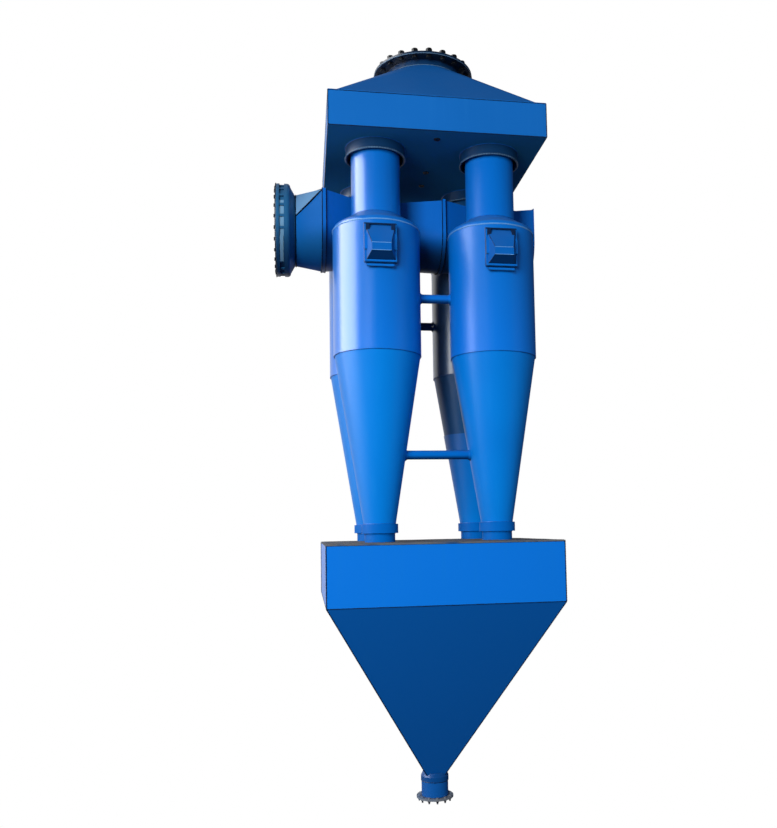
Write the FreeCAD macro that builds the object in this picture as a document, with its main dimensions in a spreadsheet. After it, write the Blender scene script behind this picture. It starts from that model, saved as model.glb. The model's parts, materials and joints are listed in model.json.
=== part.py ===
"""Dust separator of four cyclones: parametric model in millimetres, +Z up.

The origin is the centre of the dust outlet flange's lower face. +X runs from the inlet flange to the closed
end of the header, and -Y is the front, where the two hand holes show.
"""
import FreeCAD, Part
import math
import os

import Sketcher
from FreeCAD import Placement, Rotation, Vector

# Driving dimensions: lengths in millimetres, angles in degrees
SIZES = {
    # Fits between pieces
    "slip_gap": 0.3,
    "bolt_play": 1.25,
    # Dust outlet
    "dust_pipe_radius": 95,
    "dust_pipe_wall": 5,
    "dust_pipe_height": 150,
    "hopper_foot_height": 180,
    "dust_flange_radius": 131,
    "dust_flange_thickness": 12,
    "dust_bolt_ring_radius": 113,
    "dust_bolt_count": 12,
    "dust_bolt_radius": 6,
    "dust_bolt_end": 22,
    "dust_head_radius": 10,
    "dust_head_height": 8,
    "dust_collar_radius": 98.5,
    "dust_collar_lap": 31,
    "dust_shoulder_height": 28,
    "dust_shoulder_radius": 84,
    "dust_shoulder_wall": 4,
    "dust_mouth_radius": 69,
    # Hopper
    "hopper_width": 1550,
    "hopper_wall": 5,
    "hopper_box_height": 392,
    "hopper_cone_height": 1233,
    "hopper_foot_width": 148,
    "cover_plate": 8,
    "cover_overhang": 3,
    # Cyclones
    "cyclone_spacing": 810,
    "leg_radius": 103,
    "leg_wall": 5,
    "leg_height": 95,
    "leg_drop": 20,
    "leg_collar_radius": 124,
    "leg_collar_height": 62,
    "cone_foot_radius": 104,
    "cone_height": 1180,
    "cone_wall": 5,
    "cone_lap": 8,
    "barrel_radius": 300,
    "barrel_wall": 5,
    "barrel_height": 858,
    "roof_wall": 5,
    "roof_corner_rise": 24,
    "roof_angle": 32,
    "roof_knuckle": 40,
    "pipe_radius": 170,
    "pipe_wall": 5,
    "pipe_depth": 246,
    "pipe_stand_up": 20,
    "sleeve_radius": 205,
    "sleeve_wall": 7,
    "sleeve_height": 78,
    "sleeve_bead": 5,
    # Hand holes
    "curb_width": 200,
    "curb_height": 246,
    "curb_wall": 8,
    "curb_stand_off": 14,
    "curb_top_drop": 50,
    "curb_sink": 30,
    "hand_plate_width": 214,
    "hand_plate_height": 262,
    "hand_plate_thickness": 6,
    "hand_base_width": 196,
    "hand_base_bottom": 6,
    "hand_base_top": 14,
    "hand_depth": 95,
    "hand_face_width": 126,
    "hand_face_height": 50,
    "hand_face_bottom": 54,
    "hand_sheet": 4,
    # Plenum, hood and outlet
    "plenum_rise": 601,
    "plenum_width": 1480,
    "plenum_height": 239,
    "plenum_plate": 6,
    "pilot_hole_radius": 12,
    "pilot_hole_front": 619,
    "pilot_hole_middle": 69,
    "pilot_hole_back": 178,
    "ledge_width": 90,
    "hood_setback": 38,
    "hood_skirt": 14,
    "hood_height": 470,
    "hood_sheet": 5,
    "hood_fold_edge": 6,
    "hood_tip_angle": 2,
    "neck_radius": 280,
    "neck_wall": 6,
    "neck_height": 126,
    "outlet_height": 527,
    "outlet_flange_radius": 370,
    "outlet_flange_thickness": 16,
    "outlet_bolt_ring_radius": 328,
    "outlet_bolt_count": 20,
    "outlet_bolt_radius": 12,
    "outlet_bolt_end": 42,
    "outlet_head_radius": 20,
    "outlet_head_height": 13,
    # Header: heights from the barrel rim, and places along X from the barrels' outer sides (mouth), from their
    # inner sides (middle) or from their axes (the rest). A half width past is from the barrels' inner sides
    "header_top_rise": 317,
    "header_spring_rise": 99,
    "header_bottom_drop": 131,
    "header_wall": 5,
    "header_mouth_reach": 67,
    "header_mouth_half": 362,
    "header_waist_out": 93,
    "header_waist_past": 77,
    "header_inner_waist_in": 170,
    "header_inner_waist_past": 67,
    "header_middle_short": 19,
    "header_middle_half": 262,
    "header_right_in": 85,
    "header_right_past": 45,
    "header_tail_out": 250,
    "header_tail_past": 19,
    "header_end_out": 384,
    "header_end_past": 60,
    "end_plate": 6,
    "end_plate_lip": 6,
    "seam_width": 28,
    "seam_thickness": 8,
    # Inlet
    "inlet_rise": 138,
    "inlet_radius": 250,
    "inlet_wall": 5,
    "transition_length": 183,
    "inlet_neck_length": 7,
    "inlet_hub_length": 55,
    "inlet_rim_length": 18,
    "inlet_hub_bend": 24,
    "inlet_flange_radius": 328,
    "inlet_gap": 34,
    "inlet_spacer_wall": 17,
    "counter_flange_thickness": 26,
    "counter_flange_bend": 14,
    "rim_bar_width": 18,
    "rim_bar_thickness": 10,
    "rim_bar_inset": 7,
    "inlet_bolt_ring_radius": 300,
    "inlet_bolt_count": 24,
    "inlet_bolt_radius": 8,
    "inlet_bolt_reach": 23,
    "inlet_head_radius": 13,
    "inlet_head_height": 10,
    "facet_angle": 62,
    "facet_tip_angle": 2,
    "facet_tip_width": 4,
    # Bracing
    "tie_radius": 31,
    "tie_wall": 4,
    "tie_flare": 17,
    "tie_flare_length": 26,
    "upper_tie_drop": 451,
    "upper_tie_sink": 12,
    "lower_tie_rise": 498,
    "lower_tie_sink": 15,
    "band_rise": 590,
    "band_height": 128,
    "band_thickness": 4,
}

doc = FreeCAD.newDocument("cyclone_group")
sheet = doc.addObject("Spreadsheet::Sheet", "Sizes")
for row, (alias, number) in enumerate(SIZES.items(), start=1):
    sheet.set(f"A{row}", alias)
    sheet.set(f"B{row}", str(number))
    sheet.setAlias(f"B{row}", alias)
doc.recompute()


def size(alias):
    """The expression that reads one cell of the sheet."""
    return f"Sizes.{alias}"


def value(expression):
    """The present value of an expression, for shapes that are set by code."""
    return float(sheet.evalExpression(expression))


# Heights above the origin that several pieces share
HOPPER_FOLD = f"({size('hopper_foot_height')} + {size('hopper_cone_height')})"
HOPPER_TOP = f"({HOPPER_FOLD} + {size('hopper_box_height')})"
COVER_TOP = f"({HOPPER_TOP} + {size('cover_plate')})"
CONE_FOOT = f"({COVER_TOP} + {size('leg_height')})"
CONE_TOP = f"({CONE_FOOT} + {size('cone_height')})"
BARREL_FOOT = f"({CONE_TOP} - {size('cone_lap')})"
RIM = f"({CONE_TOP} + {size('barrel_height')})"
FLOOR = f"({RIM} + {size('plenum_rise')})"
FLOOR_TOP = f"({FLOOR} + {size('plenum_plate')})"
WALL_TOP = f"({FLOOR} + {size('plenum_height')})"
LEDGE_TOP = f"({WALL_TOP} + {size('plenum_plate')})"
HOOD_FOLD = f"({LEDGE_TOP} + {size('hood_skirt')})"
OUTLET_TOP = f"({LEDGE_TOP} + {size('outlet_height')})"
INLET_AXIS = f"({RIM} + {size('inlet_rise')})"

# Radii and slopes that several pieces share
CONE_TOP_RADIUS = f"({size('barrel_radius')} - {size('barrel_wall')} - {size('slip_gap')})"
CONE_TAPER = f"(({CONE_TOP_RADIUS} - {size('cone_foot_radius')}) / {size('cone_height')})"
PIPE_HOLE = f"({size('pipe_radius')} + {size('slip_gap')})"
ROOF_ANGLE = f"({size('roof_angle')} * 1 deg)"
ROOF_CORNER = f"({RIM} + {size('roof_corner_rise')})"
KNUCKLE_RATIO = f"tan((90 deg - {ROOF_ANGLE}) / 2)"
HALF_SPACING = f"({size('cyclone_spacing')} / 2)"
INNER_SIDE = f"({HALF_SPACING} - {size('barrel_radius')})"
HEADER_MOUTH = f"({HALF_SPACING} + {size('barrel_radius')} + {size('header_mouth_reach')})"
INLET_NECK = f"({HEADER_MOUTH} + {size('transition_length')})"
INLET_HUB_FOOT = f"({INLET_NECK} + {size('inlet_neck_length')})"
INLET_RIM = f"({INLET_HUB_FOOT} + {size('inlet_hub_length')})"
INLET_FLANGE = f"({INLET_RIM} + {size('inlet_rim_length')})"

# The four cyclones: name, sign of X, sign of Y
CYCLONES = (
    ("front_left", -1, -1),
    ("front_right", 1, -1),
    ("back_left", -1, 1),
    ("back_right", 1, 1),
)

NODES = []


def keep(obj, label):
    """Name an object as a finished sub-part."""
    obj.Label = label
    NODES.append(obj)
    return obj


def place(obj, x="0", y="0", z="0"):
    """Bind the position of an object to three expressions."""
    for axis, expression in zip("xyz", (x, y, z)):
        obj.setExpression(f"Placement.Base.{axis}", expression)
    return obj


def cyclone_place(obj, sign_x, sign_y, z="0"):
    """Put an object that is modelled on the axis of a cyclone at its corner of the group."""
    return place(obj, f"{sign_x} * {HALF_SPACING}", f"{sign_y} * {HALF_SPACING}", z)


def primitive(kind, name, **expressions):
    """A Part primitive whose properties are bound to expressions."""
    obj = doc.addObject(kind, name)
    for prop, expression in expressions.items():
        obj.setExpression(prop, expression)
    return obj


def cylinder(name, radius, height, z="0", x="0", y="0"):
    """An upright cylinder that stands on the height z."""
    return place(primitive("Part::Cylinder", name, Radius=radius, Height=height), x, y, z)


def block(name, width, depth, height, z="0", x="0", y="0"):
    """A box centred on x and y that stands on the height z."""
    obj = primitive("Part::Box", name, Length=width, Width=depth, Height=height)
    return place(obj, f"({x}) - ({width}) / 2", f"({y}) - ({depth}) / 2", z)


def frustum(name, low_width, high_width, height, z="0"):
    """A square frustum, narrow or wide end up, that stands on the height z."""
    obj = primitive("Part::Wedge", name, Xmin=f"-({low_width}) / 2", Xmax=f"({low_width}) / 2",
                    Zmin=f"-({low_width}) / 2", Zmax=f"({low_width}) / 2", Ymin="0", Ymax=height,
                    X2min=f"-({high_width}) / 2", X2max=f"({high_width}) / 2",
                    Z2min=f"-({high_width}) / 2", Z2max=f"({high_width}) / 2")
    obj.Placement = Placement(Vector(), Rotation(Vector(1, 0, 0), 90))
    return place(obj, z=z)


def cut(name, base, tool):
    """The base without the tool."""
    obj = doc.addObject("Part::Cut", name)
    obj.Base = base
    obj.Tool = tool
    return obj


def fuse(name, *parts):
    """Several solids as one."""
    obj = doc.addObject("Part::MultiFuse", name)
    obj.Shapes = list(parts)
    return obj


def tube(name, radius, wall, bottom, top, foot_x="0", foot_y="0"):
    """A straight round tube between two heights."""
    height = f"({top}) - ({bottom})"
    outside = cylinder(f"{name}_outside", radius, height, bottom, foot_x, foot_y)
    bore = cylinder(f"{name}_bore", f"({radius}) - ({wall})", height, bottom, foot_x, foot_y)
    return cut(name, outside, bore)


def origin_plane(body, role):
    """One of a body's own origin planes."""
    return next(item for item in body.Origin.OriginFeatures if item.Role == role)


def sketch_on(body, name, role):
    """A sketch on one of the body's own origin planes."""
    sketch = body.newObject("Sketcher::SketchObject", name)
    sketch.AttachmentSupport = (origin_plane(body, role), [""])
    sketch.MapMode = "FlatFace"
    return sketch


def constrain(sketch, kind, name, expression, *where):
    """Add one constraint and bind its value to an expression."""
    index = sketch.addConstraint(Sketcher.Constraint(kind, *where, value(expression)))
    sketch.renameConstraint(index, name)
    sketch.setExpression(f"Constraints.{name}", expression)


def draw_profile(sketch, corners, arcs=()):
    """A closed outline whose corners are bound to pairs of expressions.

    Each arc is the number of the side that it replaces, its radius, and True where it runs clockwise.
    """
    points = [Vector(value(across), value(along), 0) for across, along in corners]
    count = len(points)
    bends = {side: (radius, clockwise) for side, radius, clockwise in arcs}
    starts = []
    for index in range(count):
        first = points[index]
        second = points[(index + 1) % count]
        if index not in bends:
            sketch.addGeometry(Part.LineSegment(first, second))
            starts.append((1, 2))
            continue
        radius, clockwise = bends[index]
        sketch.addGeometry(short_arc(first, second, value(radius), clockwise))
        starts.append((2, 1) if clockwise else (1, 2))
    for index in range(count):
        following = (index + 1) % count
        sketch.addConstraint(Sketcher.Constraint("Coincident", index, starts[index][1], following,
                                                 starts[following][0]))
    for index, (radius, _) in bends.items():
        constrain(sketch, "Radius", f"bend_{index}", radius, index)
    for index, (across, along) in enumerate(corners):
        constrain(sketch, "DistanceX", f"across_{index}", across, -1, 1, index, starts[index][0])
        constrain(sketch, "DistanceY", f"along_{index}", along, -1, 1, index, starts[index][0])


def short_arc(first, second, radius, clockwise):
    """The shorter arc between two points, which a sketch always keeps counter-clockwise."""
    low, high = (second, first) if clockwise else (first, second)
    chord = high - low
    middle = (low + high) / 2
    rise = math.sqrt(radius ** 2 - (chord.Length / 2) ** 2)
    centre = middle + Vector(-chord.y, chord.x, 0).normalize() * rise
    begin = math.atan2(low.y - centre.y, low.x - centre.x)
    end = math.atan2(high.y - centre.y, high.x - centre.x)
    return Part.ArcOfCircle(Part.Circle(centre, Vector(0, 0, 1), radius), begin, end)


def draw_circle(sketch, radius, out="0"):
    """A circle bound to its radius, on the sketch's own horizontal axis."""
    centre = Vector(value(out), 0, 0)
    index = sketch.addGeometry(Part.Circle(centre, Vector(0, 0, 1), value(radius)))
    constrain(sketch, "Radius", f"radius_{index}", radius, index)
    if value(out) == 0:
        sketch.addConstraint(Sketcher.Constraint("Coincident", index, 3, -1, 1))
        return
    sketch.addConstraint(Sketcher.Constraint("PointOnObject", index, 3, -1))
    constrain(sketch, "DistanceX", f"out_{index}", out, -1, 1, index, 3)


def turned(name, corners, arcs=()):
    """A body turned about its vertical axis from a profile of radius and height expressions."""
    body = doc.addObject("PartDesign::Body", name)
    profile = sketch_on(body, f"{name}_profile", "XZ_Plane")
    draw_profile(profile, corners, arcs)
    turn = body.newObject("PartDesign::Revolution", f"{name}_turned")
    turn.Profile = profile
    turn.ReferenceAxis = (profile, ["V_Axis"])
    turn.Angle = 360
    return body


def padded(body, sketch, length, reversed_way=False):
    """A pad of a sketch, up from it or down."""
    pad = body.newObject("PartDesign::Pad", f"{sketch.Name}_pad")
    pad.Profile = sketch
    pad.setExpression("Length", length)
    pad.Reversed = reversed_way
    return pad


def around(body, features, axis_sketch, count):
    """Repeat features evenly about the normal of a sketch, and make that the body's result."""
    pattern = body.newObject("PartDesign::PolarPattern", f"{body.Name}_pattern")
    pattern.Originals = features
    pattern.Axis = (axis_sketch, ["N_Axis"])
    pattern.Angle = 360
    pattern.setExpression("Occurrences", count)
    body.Tip = pattern
    return pattern


def drill_ring(body, depth, radius, circle, count):
    """Drill a ring of round holes upward from the body's own base plane."""
    before = body.Shape.Volume
    holes = sketch_on(body, f"{body.Name}_hole", "XY_Plane")
    draw_circle(holes, radius, circle)
    pocket = body.newObject("PartDesign::Pocket", f"{body.Name}_pocket")
    pocket.Profile = holes
    pocket.setExpression("Length", depth)
    pocket.Reversed = True
    around(body, [pocket], holes, count)
    doc.recompute()
    if body.Shape.Volume >= before:
        raise RuntimeError(f"{body.Name}: the ring of holes removed nothing")


def bolt_ring(name, circle, count, radius, head_radius, head_height, length):
    """A ring of hexagon bolts: heads below the body's base plane, shanks above it."""
    body = doc.addObject("PartDesign::Body", name)
    body.AllowCompound = True
    shank = sketch_on(body, f"{name}_shank", "XY_Plane")
    draw_circle(shank, radius, circle)
    shank_pad = padded(body, shank, length)
    head = sketch_on(body, f"{name}_head", "XY_Plane")
    corners = []
    for step in range(6):
        turn = math.radians(30 + 60 * step)
        corners.append((f"{circle} + {head_radius} * {math.cos(turn):.6f}",
                        f"{head_radius} * {math.sin(turn):.6f}"))
    draw_profile(head, corners)
    head_pad = padded(body, head, head_height, reversed_way=True)
    around(body, [shank_pad, head_pad], head, count)
    return body


def toward_inlet(body):
    """Turn a body from upright to lying, so that its own +Z runs toward the inlet, -X."""
    body.Placement = Placement(Vector(), Rotation(Vector(0, 1, 0), -90))
    return place(body, z=INLET_AXIS)


def shape_node(label, shape):
    """A sub-part whose shape is set by code from the sheet."""
    obj = doc.addObject("Part::Feature", label)
    obj.Shape = shape
    obj.Placement = Placement()
    return keep(obj, label)


# Dust outlet

def dust_outlet():
    """Flange with hanging bolt ends, pipe, and collar with a sloped shoulder."""
    pipe_outside = size("dust_pipe_radius")
    pipe = tube("dust_pipe", pipe_outside, size("dust_pipe_wall"), "0", size("dust_pipe_height"))
    keep(pipe, "dust_outlet_pipe")

    bore = f"{pipe_outside} + {size('slip_gap')}"
    flange = doc.addObject("PartDesign::Body", "dust_flange")
    ring = sketch_on(flange, "dust_flange_ring", "XY_Plane")
    draw_circle(ring, size("dust_flange_radius"))
    draw_circle(ring, bore)
    padded(flange, ring, size("dust_flange_thickness"))
    doc.recompute()
    drill_ring(flange, size("dust_flange_thickness"), f"{size('dust_bolt_radius')} + {size('bolt_play')}",
               size("dust_bolt_ring_radius"), size("dust_bolt_count"))
    keep(flange, "dust_outlet_flange")

    bolts = bolt_ring("dust_bolts", size("dust_bolt_ring_radius"), size("dust_bolt_count"),
                      size("dust_bolt_radius"), size("dust_head_radius"), size("dust_head_height"),
                      f"{size('dust_flange_thickness')} + {size('dust_bolt_end')}")
    bolts.Placement = Placement(Vector(), Rotation(Vector(1, 0, 0), 180))
    place(bolts, z=size("dust_flange_thickness"))
    keep(bolts, "dust_outlet_bolts")

    foot = f"{size('dust_pipe_height')} - {size('dust_collar_lap')}"
    shoulder = f"{size('hopper_foot_height')} - {size('dust_shoulder_height')}"
    wall = size("dust_shoulder_wall")
    collar = turned("dust_collar", (
        (bore, foot),
        (size("dust_collar_radius"), foot),
        (size("dust_collar_radius"), shoulder),
        (size("dust_shoulder_radius"), size("hopper_foot_height")),
        (size("dust_mouth_radius"), size("hopper_foot_height")),
        (size("dust_mouth_radius"), f"{size('hopper_foot_height')} - {wall}"),
        (f"{size('dust_shoulder_radius')} - {wall}", f"{size('hopper_foot_height')} - {wall}"),
        (bore, f"{size('dust_pipe_height')} + {size('slip_gap')}"),
    ))
    keep(collar, "dust_outlet_collar")


# Hopper

def hopper():
    """Inverted pyramid scribed round the collar, wall box, and cover plate with four leg holes."""
    width = size("hopper_width")
    slope = f"(({width} - {size('hopper_foot_width')}) / 2 / {size('hopper_cone_height')})"
    across = f"({size('hopper_wall')} * sqrt(1 + {slope} ^ 2))"
    reach = size("dust_shoulder_height")
    low = f"{size('hopper_foot_width')} - 2 * {slope} * {reach}"
    start = f"{size('hopper_foot_height')} - {reach}"
    height = f"{size('hopper_cone_height')} + {reach}"
    outside = frustum("pyramid_outside", low, width, height, start)
    inside = frustum("pyramid_inside", f"{low} - 2 * {across}", f"{width} - 2 * {across}", height, start)
    shell = cut("pyramid_shell", outside, inside)
    gap = size("slip_gap")
    seat = primitive("Part::Cone", "pyramid_seat", Radius1=f"{size('dust_collar_radius')} + {gap}",
                     Radius2=f"{size('dust_shoulder_radius')} + {gap}", Height=reach)
    place(seat, z=f"{start} + {gap}")
    skirt = cylinder("pyramid_skirt", f"{size('dust_collar_radius')} + {gap}", f"{reach} + {gap}",
                     f"{start} - {reach}")
    keep(cut("hopper_slopes", shell, fuse("collar_space", skirt, seat)), "hopper_pyramid")

    box = block("hopper_outside", width, width, size("hopper_box_height"), HOPPER_FOLD)
    room = f"{width} - 2 * {size('hopper_wall')}"
    space = block("hopper_inside", room, room, size("hopper_box_height"), HOPPER_FOLD)
    keep(cut("hopper_box", box, space), "hopper_walls")

    plate_width = f"{width} + 2 * {size('cover_overhang')}"
    plate = block("cover_blank", plate_width, plate_width, size("cover_plate"), HOPPER_TOP)
    holes = []
    for name, sign_x, sign_y in CYCLONES:
        hole = cylinder(f"cover_hole_{name}", f"{size('leg_radius')} + {size('slip_gap')}",
                        size("cover_plate"))
        holes.append(cyclone_place(hole, sign_x, sign_y, HOPPER_TOP))
    keep(cut("cover", plate, fuse("cover_holes", *holes)), "hopper_cover")


# Header solids, used by the cyclones for their ports

def conic_arc(start, shoulder, end, weight):
    """A quarter of an ellipse, or an arc of a circle, as one exact curve."""
    curve = Part.BezierCurve()
    curve.setPoles([start, shoulder, end])
    curve.setWeight(2, weight)
    return curve.toShape()


QUARTER_WEIGHT = math.sqrt(0.5)


def trough_section(x, half, top, spring, bottom, tip=0):
    """Closed section of the header across X: flat top, upright sides, half elliptical bottom.

    A tip splits the last millimetres of the top off at each corner, for a patch that fans out from there.
    """
    crown = Vector(x, 0, top)
    keel = Vector(x, 0, bottom)
    right_top = Vector(x, half, top)
    right_spring = Vector(x, half, spring)
    left_top = Vector(x, -half, top)
    left_spring = Vector(x, -half, spring)
    right_stops = [crown, Vector(x, half - tip, top), right_top] if tip else [crown, right_top]
    left_stops = [left_top, Vector(x, tip - half, top), crown] if tip else [left_top, crown]
    edges = [Part.makeLine(first, second) for first, second in zip(right_stops, right_stops[1:])]
    edges += [
        Part.makeLine(right_top, right_spring),
        conic_arc(right_spring, Vector(x, half, bottom), keel, QUARTER_WEIGHT),
        conic_arc(keel, Vector(x, -half, bottom), left_spring, QUARTER_WEIGHT),
        Part.makeLine(left_spring, left_top),
    ]
    edges += [Part.makeLine(first, second) for first, second in zip(left_stops, left_stops[1:])]
    return Part.Wire(edges)


def arcs_between(stops, point, flat):
    """Exact arcs between angles in degrees, where point(degrees, reach) lies on the circle or past it.

    A span no wider than flat is drawn straight, so that the sheet that ends there stays plane.
    """
    edges = []
    for low, high in zip(stops, stops[1:]):
        if high - low <= flat:
            edges.append(Part.makeLine(point(low, 1), point(high, 1)))
            continue
        half_turn = math.radians((high - low) / 2)
        shoulder = point((low + high) / 2, 1 / math.cos(half_turn))
        edges.append(conic_arc(point(low, 1), shoulder, point(high, 1), math.cos(half_turn)))
    return edges


def round_section(x, radius, height, tip, facet):
    """Closed round section with the same eight edges, split where the corner patches start and end."""
    def point(degrees, reach):
        turn = math.radians(degrees)
        return Vector(x, radius * reach * math.sin(turn), height + radius * reach * math.cos(turn))

    stops = (0, tip, facet, 90, 180, 270, 360 - facet, 360 - tip, 360)
    return Part.Wire(arcs_between(stops, point, tip))


def header_levels(offset):
    """Heights of top, spring line and bottom, moved outward by an offset."""
    top = value(f"{RIM} + {size('header_top_rise')}") + offset
    spring = value(f"{RIM} + {size('header_spring_rise')}")
    bottom = value(f"{RIM} - {size('header_bottom_drop')}") - offset
    return top, spring, bottom


def header_stations():
    """Places along X and half widths where the header's plan changes direction."""
    mouth = -value(HEADER_MOUTH)
    middle = value(f"{INNER_SIDE} - {size('header_middle_short')}")
    seam = value(size("seam_width"))

    def beside(place_x, past):
        return value(place_x), value(f"{INNER_SIDE} + {size(past)}")

    return [
        (mouth, value(size("header_mouth_half"))),
        (mouth + seam, value(size("header_mouth_half"))),
        beside(f"-({HALF_SPACING} + {size('header_waist_out')})", "header_waist_past"),
        beside(f"-({HALF_SPACING} - {size('header_inner_waist_in')})", "header_inner_waist_past"),
        (middle, value(size("header_middle_half"))),
        (middle + seam, value(size("header_middle_half"))),
        beside(f"{HALF_SPACING} - {size('header_right_in')}", "header_right_past"),
        beside(f"{HALF_SPACING} + {size('header_tail_out')}", "header_tail_past"),
        beside(f"{HALF_SPACING} + {size('header_end_out')}", "header_end_past"),
    ]


def header_solid(stations, offset):
    """Solid trough through a run of stations, moved outward by an offset."""
    levels = header_levels(offset)
    sections = [trough_section(x, half + offset, *levels) for x, half in stations]
    return Part.makeLoft(sections, True, True)


def split_stations(stations, at):
    """The stations up to a place on a straight length, and those from it on."""
    before = [item for item in stations if item[0] < at]
    after = [item for item in stations if item[0] > at]
    half = before[-1][1]
    return before + [(at, half)], [(at, half)] + after


def cyclone_envelope(sign_x, sign_y):
    """Outside of one barrel, its roof and its outlet pipe as one solid, larger by the slip gap."""
    gap = value(size("slip_gap"))
    bend = value(size("roof_knuckle")) + gap
    radius = f"({size('barrel_radius')} + {size('slip_gap')})"
    corner = f"({ROOF_CORNER} + {size('slip_gap')} * {KNUCKLE_RATIO})"
    start, end = knuckle(radius, corner, f"({size('roof_knuckle')} + {size('slip_gap')})")
    neck = value(PIPE_HOLE)
    top = value(f"{corner} + ({radius} - {PIPE_HOLE}) * tan({ROOF_ANGLE})")
    low = Vector(value(start[0]), 0, value(start[1]))
    high = Vector(value(end[0]), 0, value(end[1]))
    centre = low - Vector(bend, 0, 0)
    middle = centre + ((low + high) / 2 - centre).normalize() * bend
    foot = value(BARREL_FOOT)
    head = value(FLOOR)
    chain = [high, Vector(neck, 0, top), Vector(neck, 0, head), Vector(0, 0, head), Vector(0, 0, foot),
             Vector(low.x, 0, foot), low]
    edges = [Part.Arc(low, middle, high).toShape()]
    for first, second in zip(chain, chain[1:]):
        edges.append(Part.makeLine(first, second))
    solid = Part.Face(Part.Wire(edges)).revolve(Vector(), Vector(0, 0, 1), 360)
    half = value(HALF_SPACING)
    solid.translate(Vector(sign_x * half, sign_y * half, 0))
    return solid


def header_bore():
    """The hollow of the whole header, which cuts the ports into barrels and roofs."""
    obj = doc.addObject("Part::Feature", "header_bore")
    obj.Shape = header_solid(header_stations(), -value(size("header_wall")))
    return obj


def header():
    """Header in two lengths between the cyclones, with its seam bands and end plate."""
    stations = header_stations()
    seam = value(size("seam_width"))
    wall = value(size("header_wall"))
    gap = value(size("slip_gap"))
    band = value(size("seam_thickness"))
    first_joint = stations[0][0] + seam / 2
    second_joint = stations[4][0] + seam / 2
    stations[0] = (first_joint, stations[0][1])
    upstream, downstream = split_stations(stations, second_joint)
    envelopes = [cyclone_envelope(sign_x, sign_y) for _, sign_x, sign_y in CYCLONES]
    for label, run in (("header_upstream", upstream), ("header_downstream", downstream)):
        shell = header_solid(run, 0).cut(header_solid(run, -wall))
        shape_node(label, shell.cut(envelopes))
    for label, joint, half in (("seam_band_inlet", first_joint, value(size("header_mouth_half"))),
                               ("seam_band_middle", second_joint, value(size("header_middle_half")))):
        run = [(joint - seam / 2, half), (joint + seam / 2, half)]
        ring = header_solid(run, band).cut(header_solid(run, gap))
        shape_node(label, ring.cut(envelopes))
    end, half = stations[-1]
    run = [(end + gap, half), (end + gap + value(size("end_plate")), half)]
    shape_node("header_end_plate", header_solid(run, value(size("end_plate_lip"))))


# Cyclones

def dust_legs(name, sign_x, sign_y):
    """Leg through the cover plate and the collar that joins it to the cone."""
    leg = tube(f"leg_{name}", size("leg_radius"), size("leg_wall"), "0",
               f"{size('leg_drop')} + {size('cover_plate')} + {size('leg_height')}")
    cyclone_place(leg, sign_x, sign_y, f"{HOPPER_TOP} - {size('leg_drop')}")
    keep(leg, f"dust_leg_{name}")

    gap = size("slip_gap")
    half = f"({size('leg_collar_height')} / 2)"
    collar = turned(f"leg_collar_{name}", (
        (f"{size('leg_radius')} + {gap}", f"{CONE_FOOT} - {half}"),
        (size("leg_collar_radius"), f"{CONE_FOOT} - {half}"),
        (size("leg_collar_radius"), f"{CONE_FOOT} + {half}"),
        (f"{size('cone_foot_radius')} + {CONE_TAPER} * {half} + {gap}", f"{CONE_FOOT} + {half}"),
        (f"{size('cone_foot_radius')} + {gap}", CONE_FOOT),
        (f"{size('leg_radius')} + {gap}", CONE_FOOT),
    ))
    keep(cyclone_place(collar, sign_x, sign_y), f"leg_collar_{name}")


def cone_solid(name, inset):
    """The body of a cone, smaller by an inset, on the axis of its cyclone."""
    cone = primitive("Part::Cone", name, Radius1=f"{size('cone_foot_radius')} - {inset}",
                     Radius2=f"{CONE_TOP_RADIUS} - {inset}", Height=size("cone_height"))
    return cone


def cone(name, sign_x, sign_y):
    """Tapered part of a cyclone, whose top slips inside the barrel's foot."""
    across = f"({size('cone_wall')} * sqrt(1 + {CONE_TAPER} ^ 2))"
    shell = cut(f"cone_{name}", cone_solid(f"cone_outside_{name}", "0"),
                cone_solid(f"cone_inside_{name}", across))
    keep(cyclone_place(shell, sign_x, sign_y, CONE_FOOT), f"cone_{name}")


def barrel(name, sign_x, sign_y, port):
    """Cylinder of a cyclone with the curb of its hand hole, open where the header enters."""
    radius = size("barrel_radius")
    height = f"({RIM}) - ({BARREL_FOOT})"
    x = f"{sign_x} * {HALF_SPACING}"
    y = f"{sign_y} * {HALF_SPACING}"
    reach = f"(2 * {size('curb_stand_off')} + {size('barrel_wall')} + {size('curb_sink')})"
    face = f"{radius} + {size('curb_stand_off')}"
    curb_y = f"{sign_y} * ({HALF_SPACING} + {face} - {reach} / 2)"
    curb_foot = f"{RIM} - {size('curb_top_drop')} - {size('curb_height')}"
    rim = f"{size('curb_wall')}"
    solid = fuse(
        f"barrel_solid_{name}",
        cylinder(f"barrel_outside_{name}", radius, height, BARREL_FOOT, x, y),
        block(f"curb_outside_{name}", size("curb_width"), reach, size("curb_height"), curb_foot, x, curb_y),
    )
    hollow = fuse(
        f"barrel_hollow_{name}",
        cylinder(f"barrel_inside_{name}", f"{radius} - {size('barrel_wall')}", height, BARREL_FOOT, x, y),
        block(f"curb_inside_{name}", f"{size('curb_width')} - 2 * {rim}", reach,
              f"{size('curb_height')} - 2 * {rim}", f"{curb_foot} + {rim}", x, curb_y),
    )
    shell = cut(f"barrel_shell_{name}", solid, hollow)
    keep(cut(f"barrel_{name}", shell, port), f"barrel_{name}")


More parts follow.
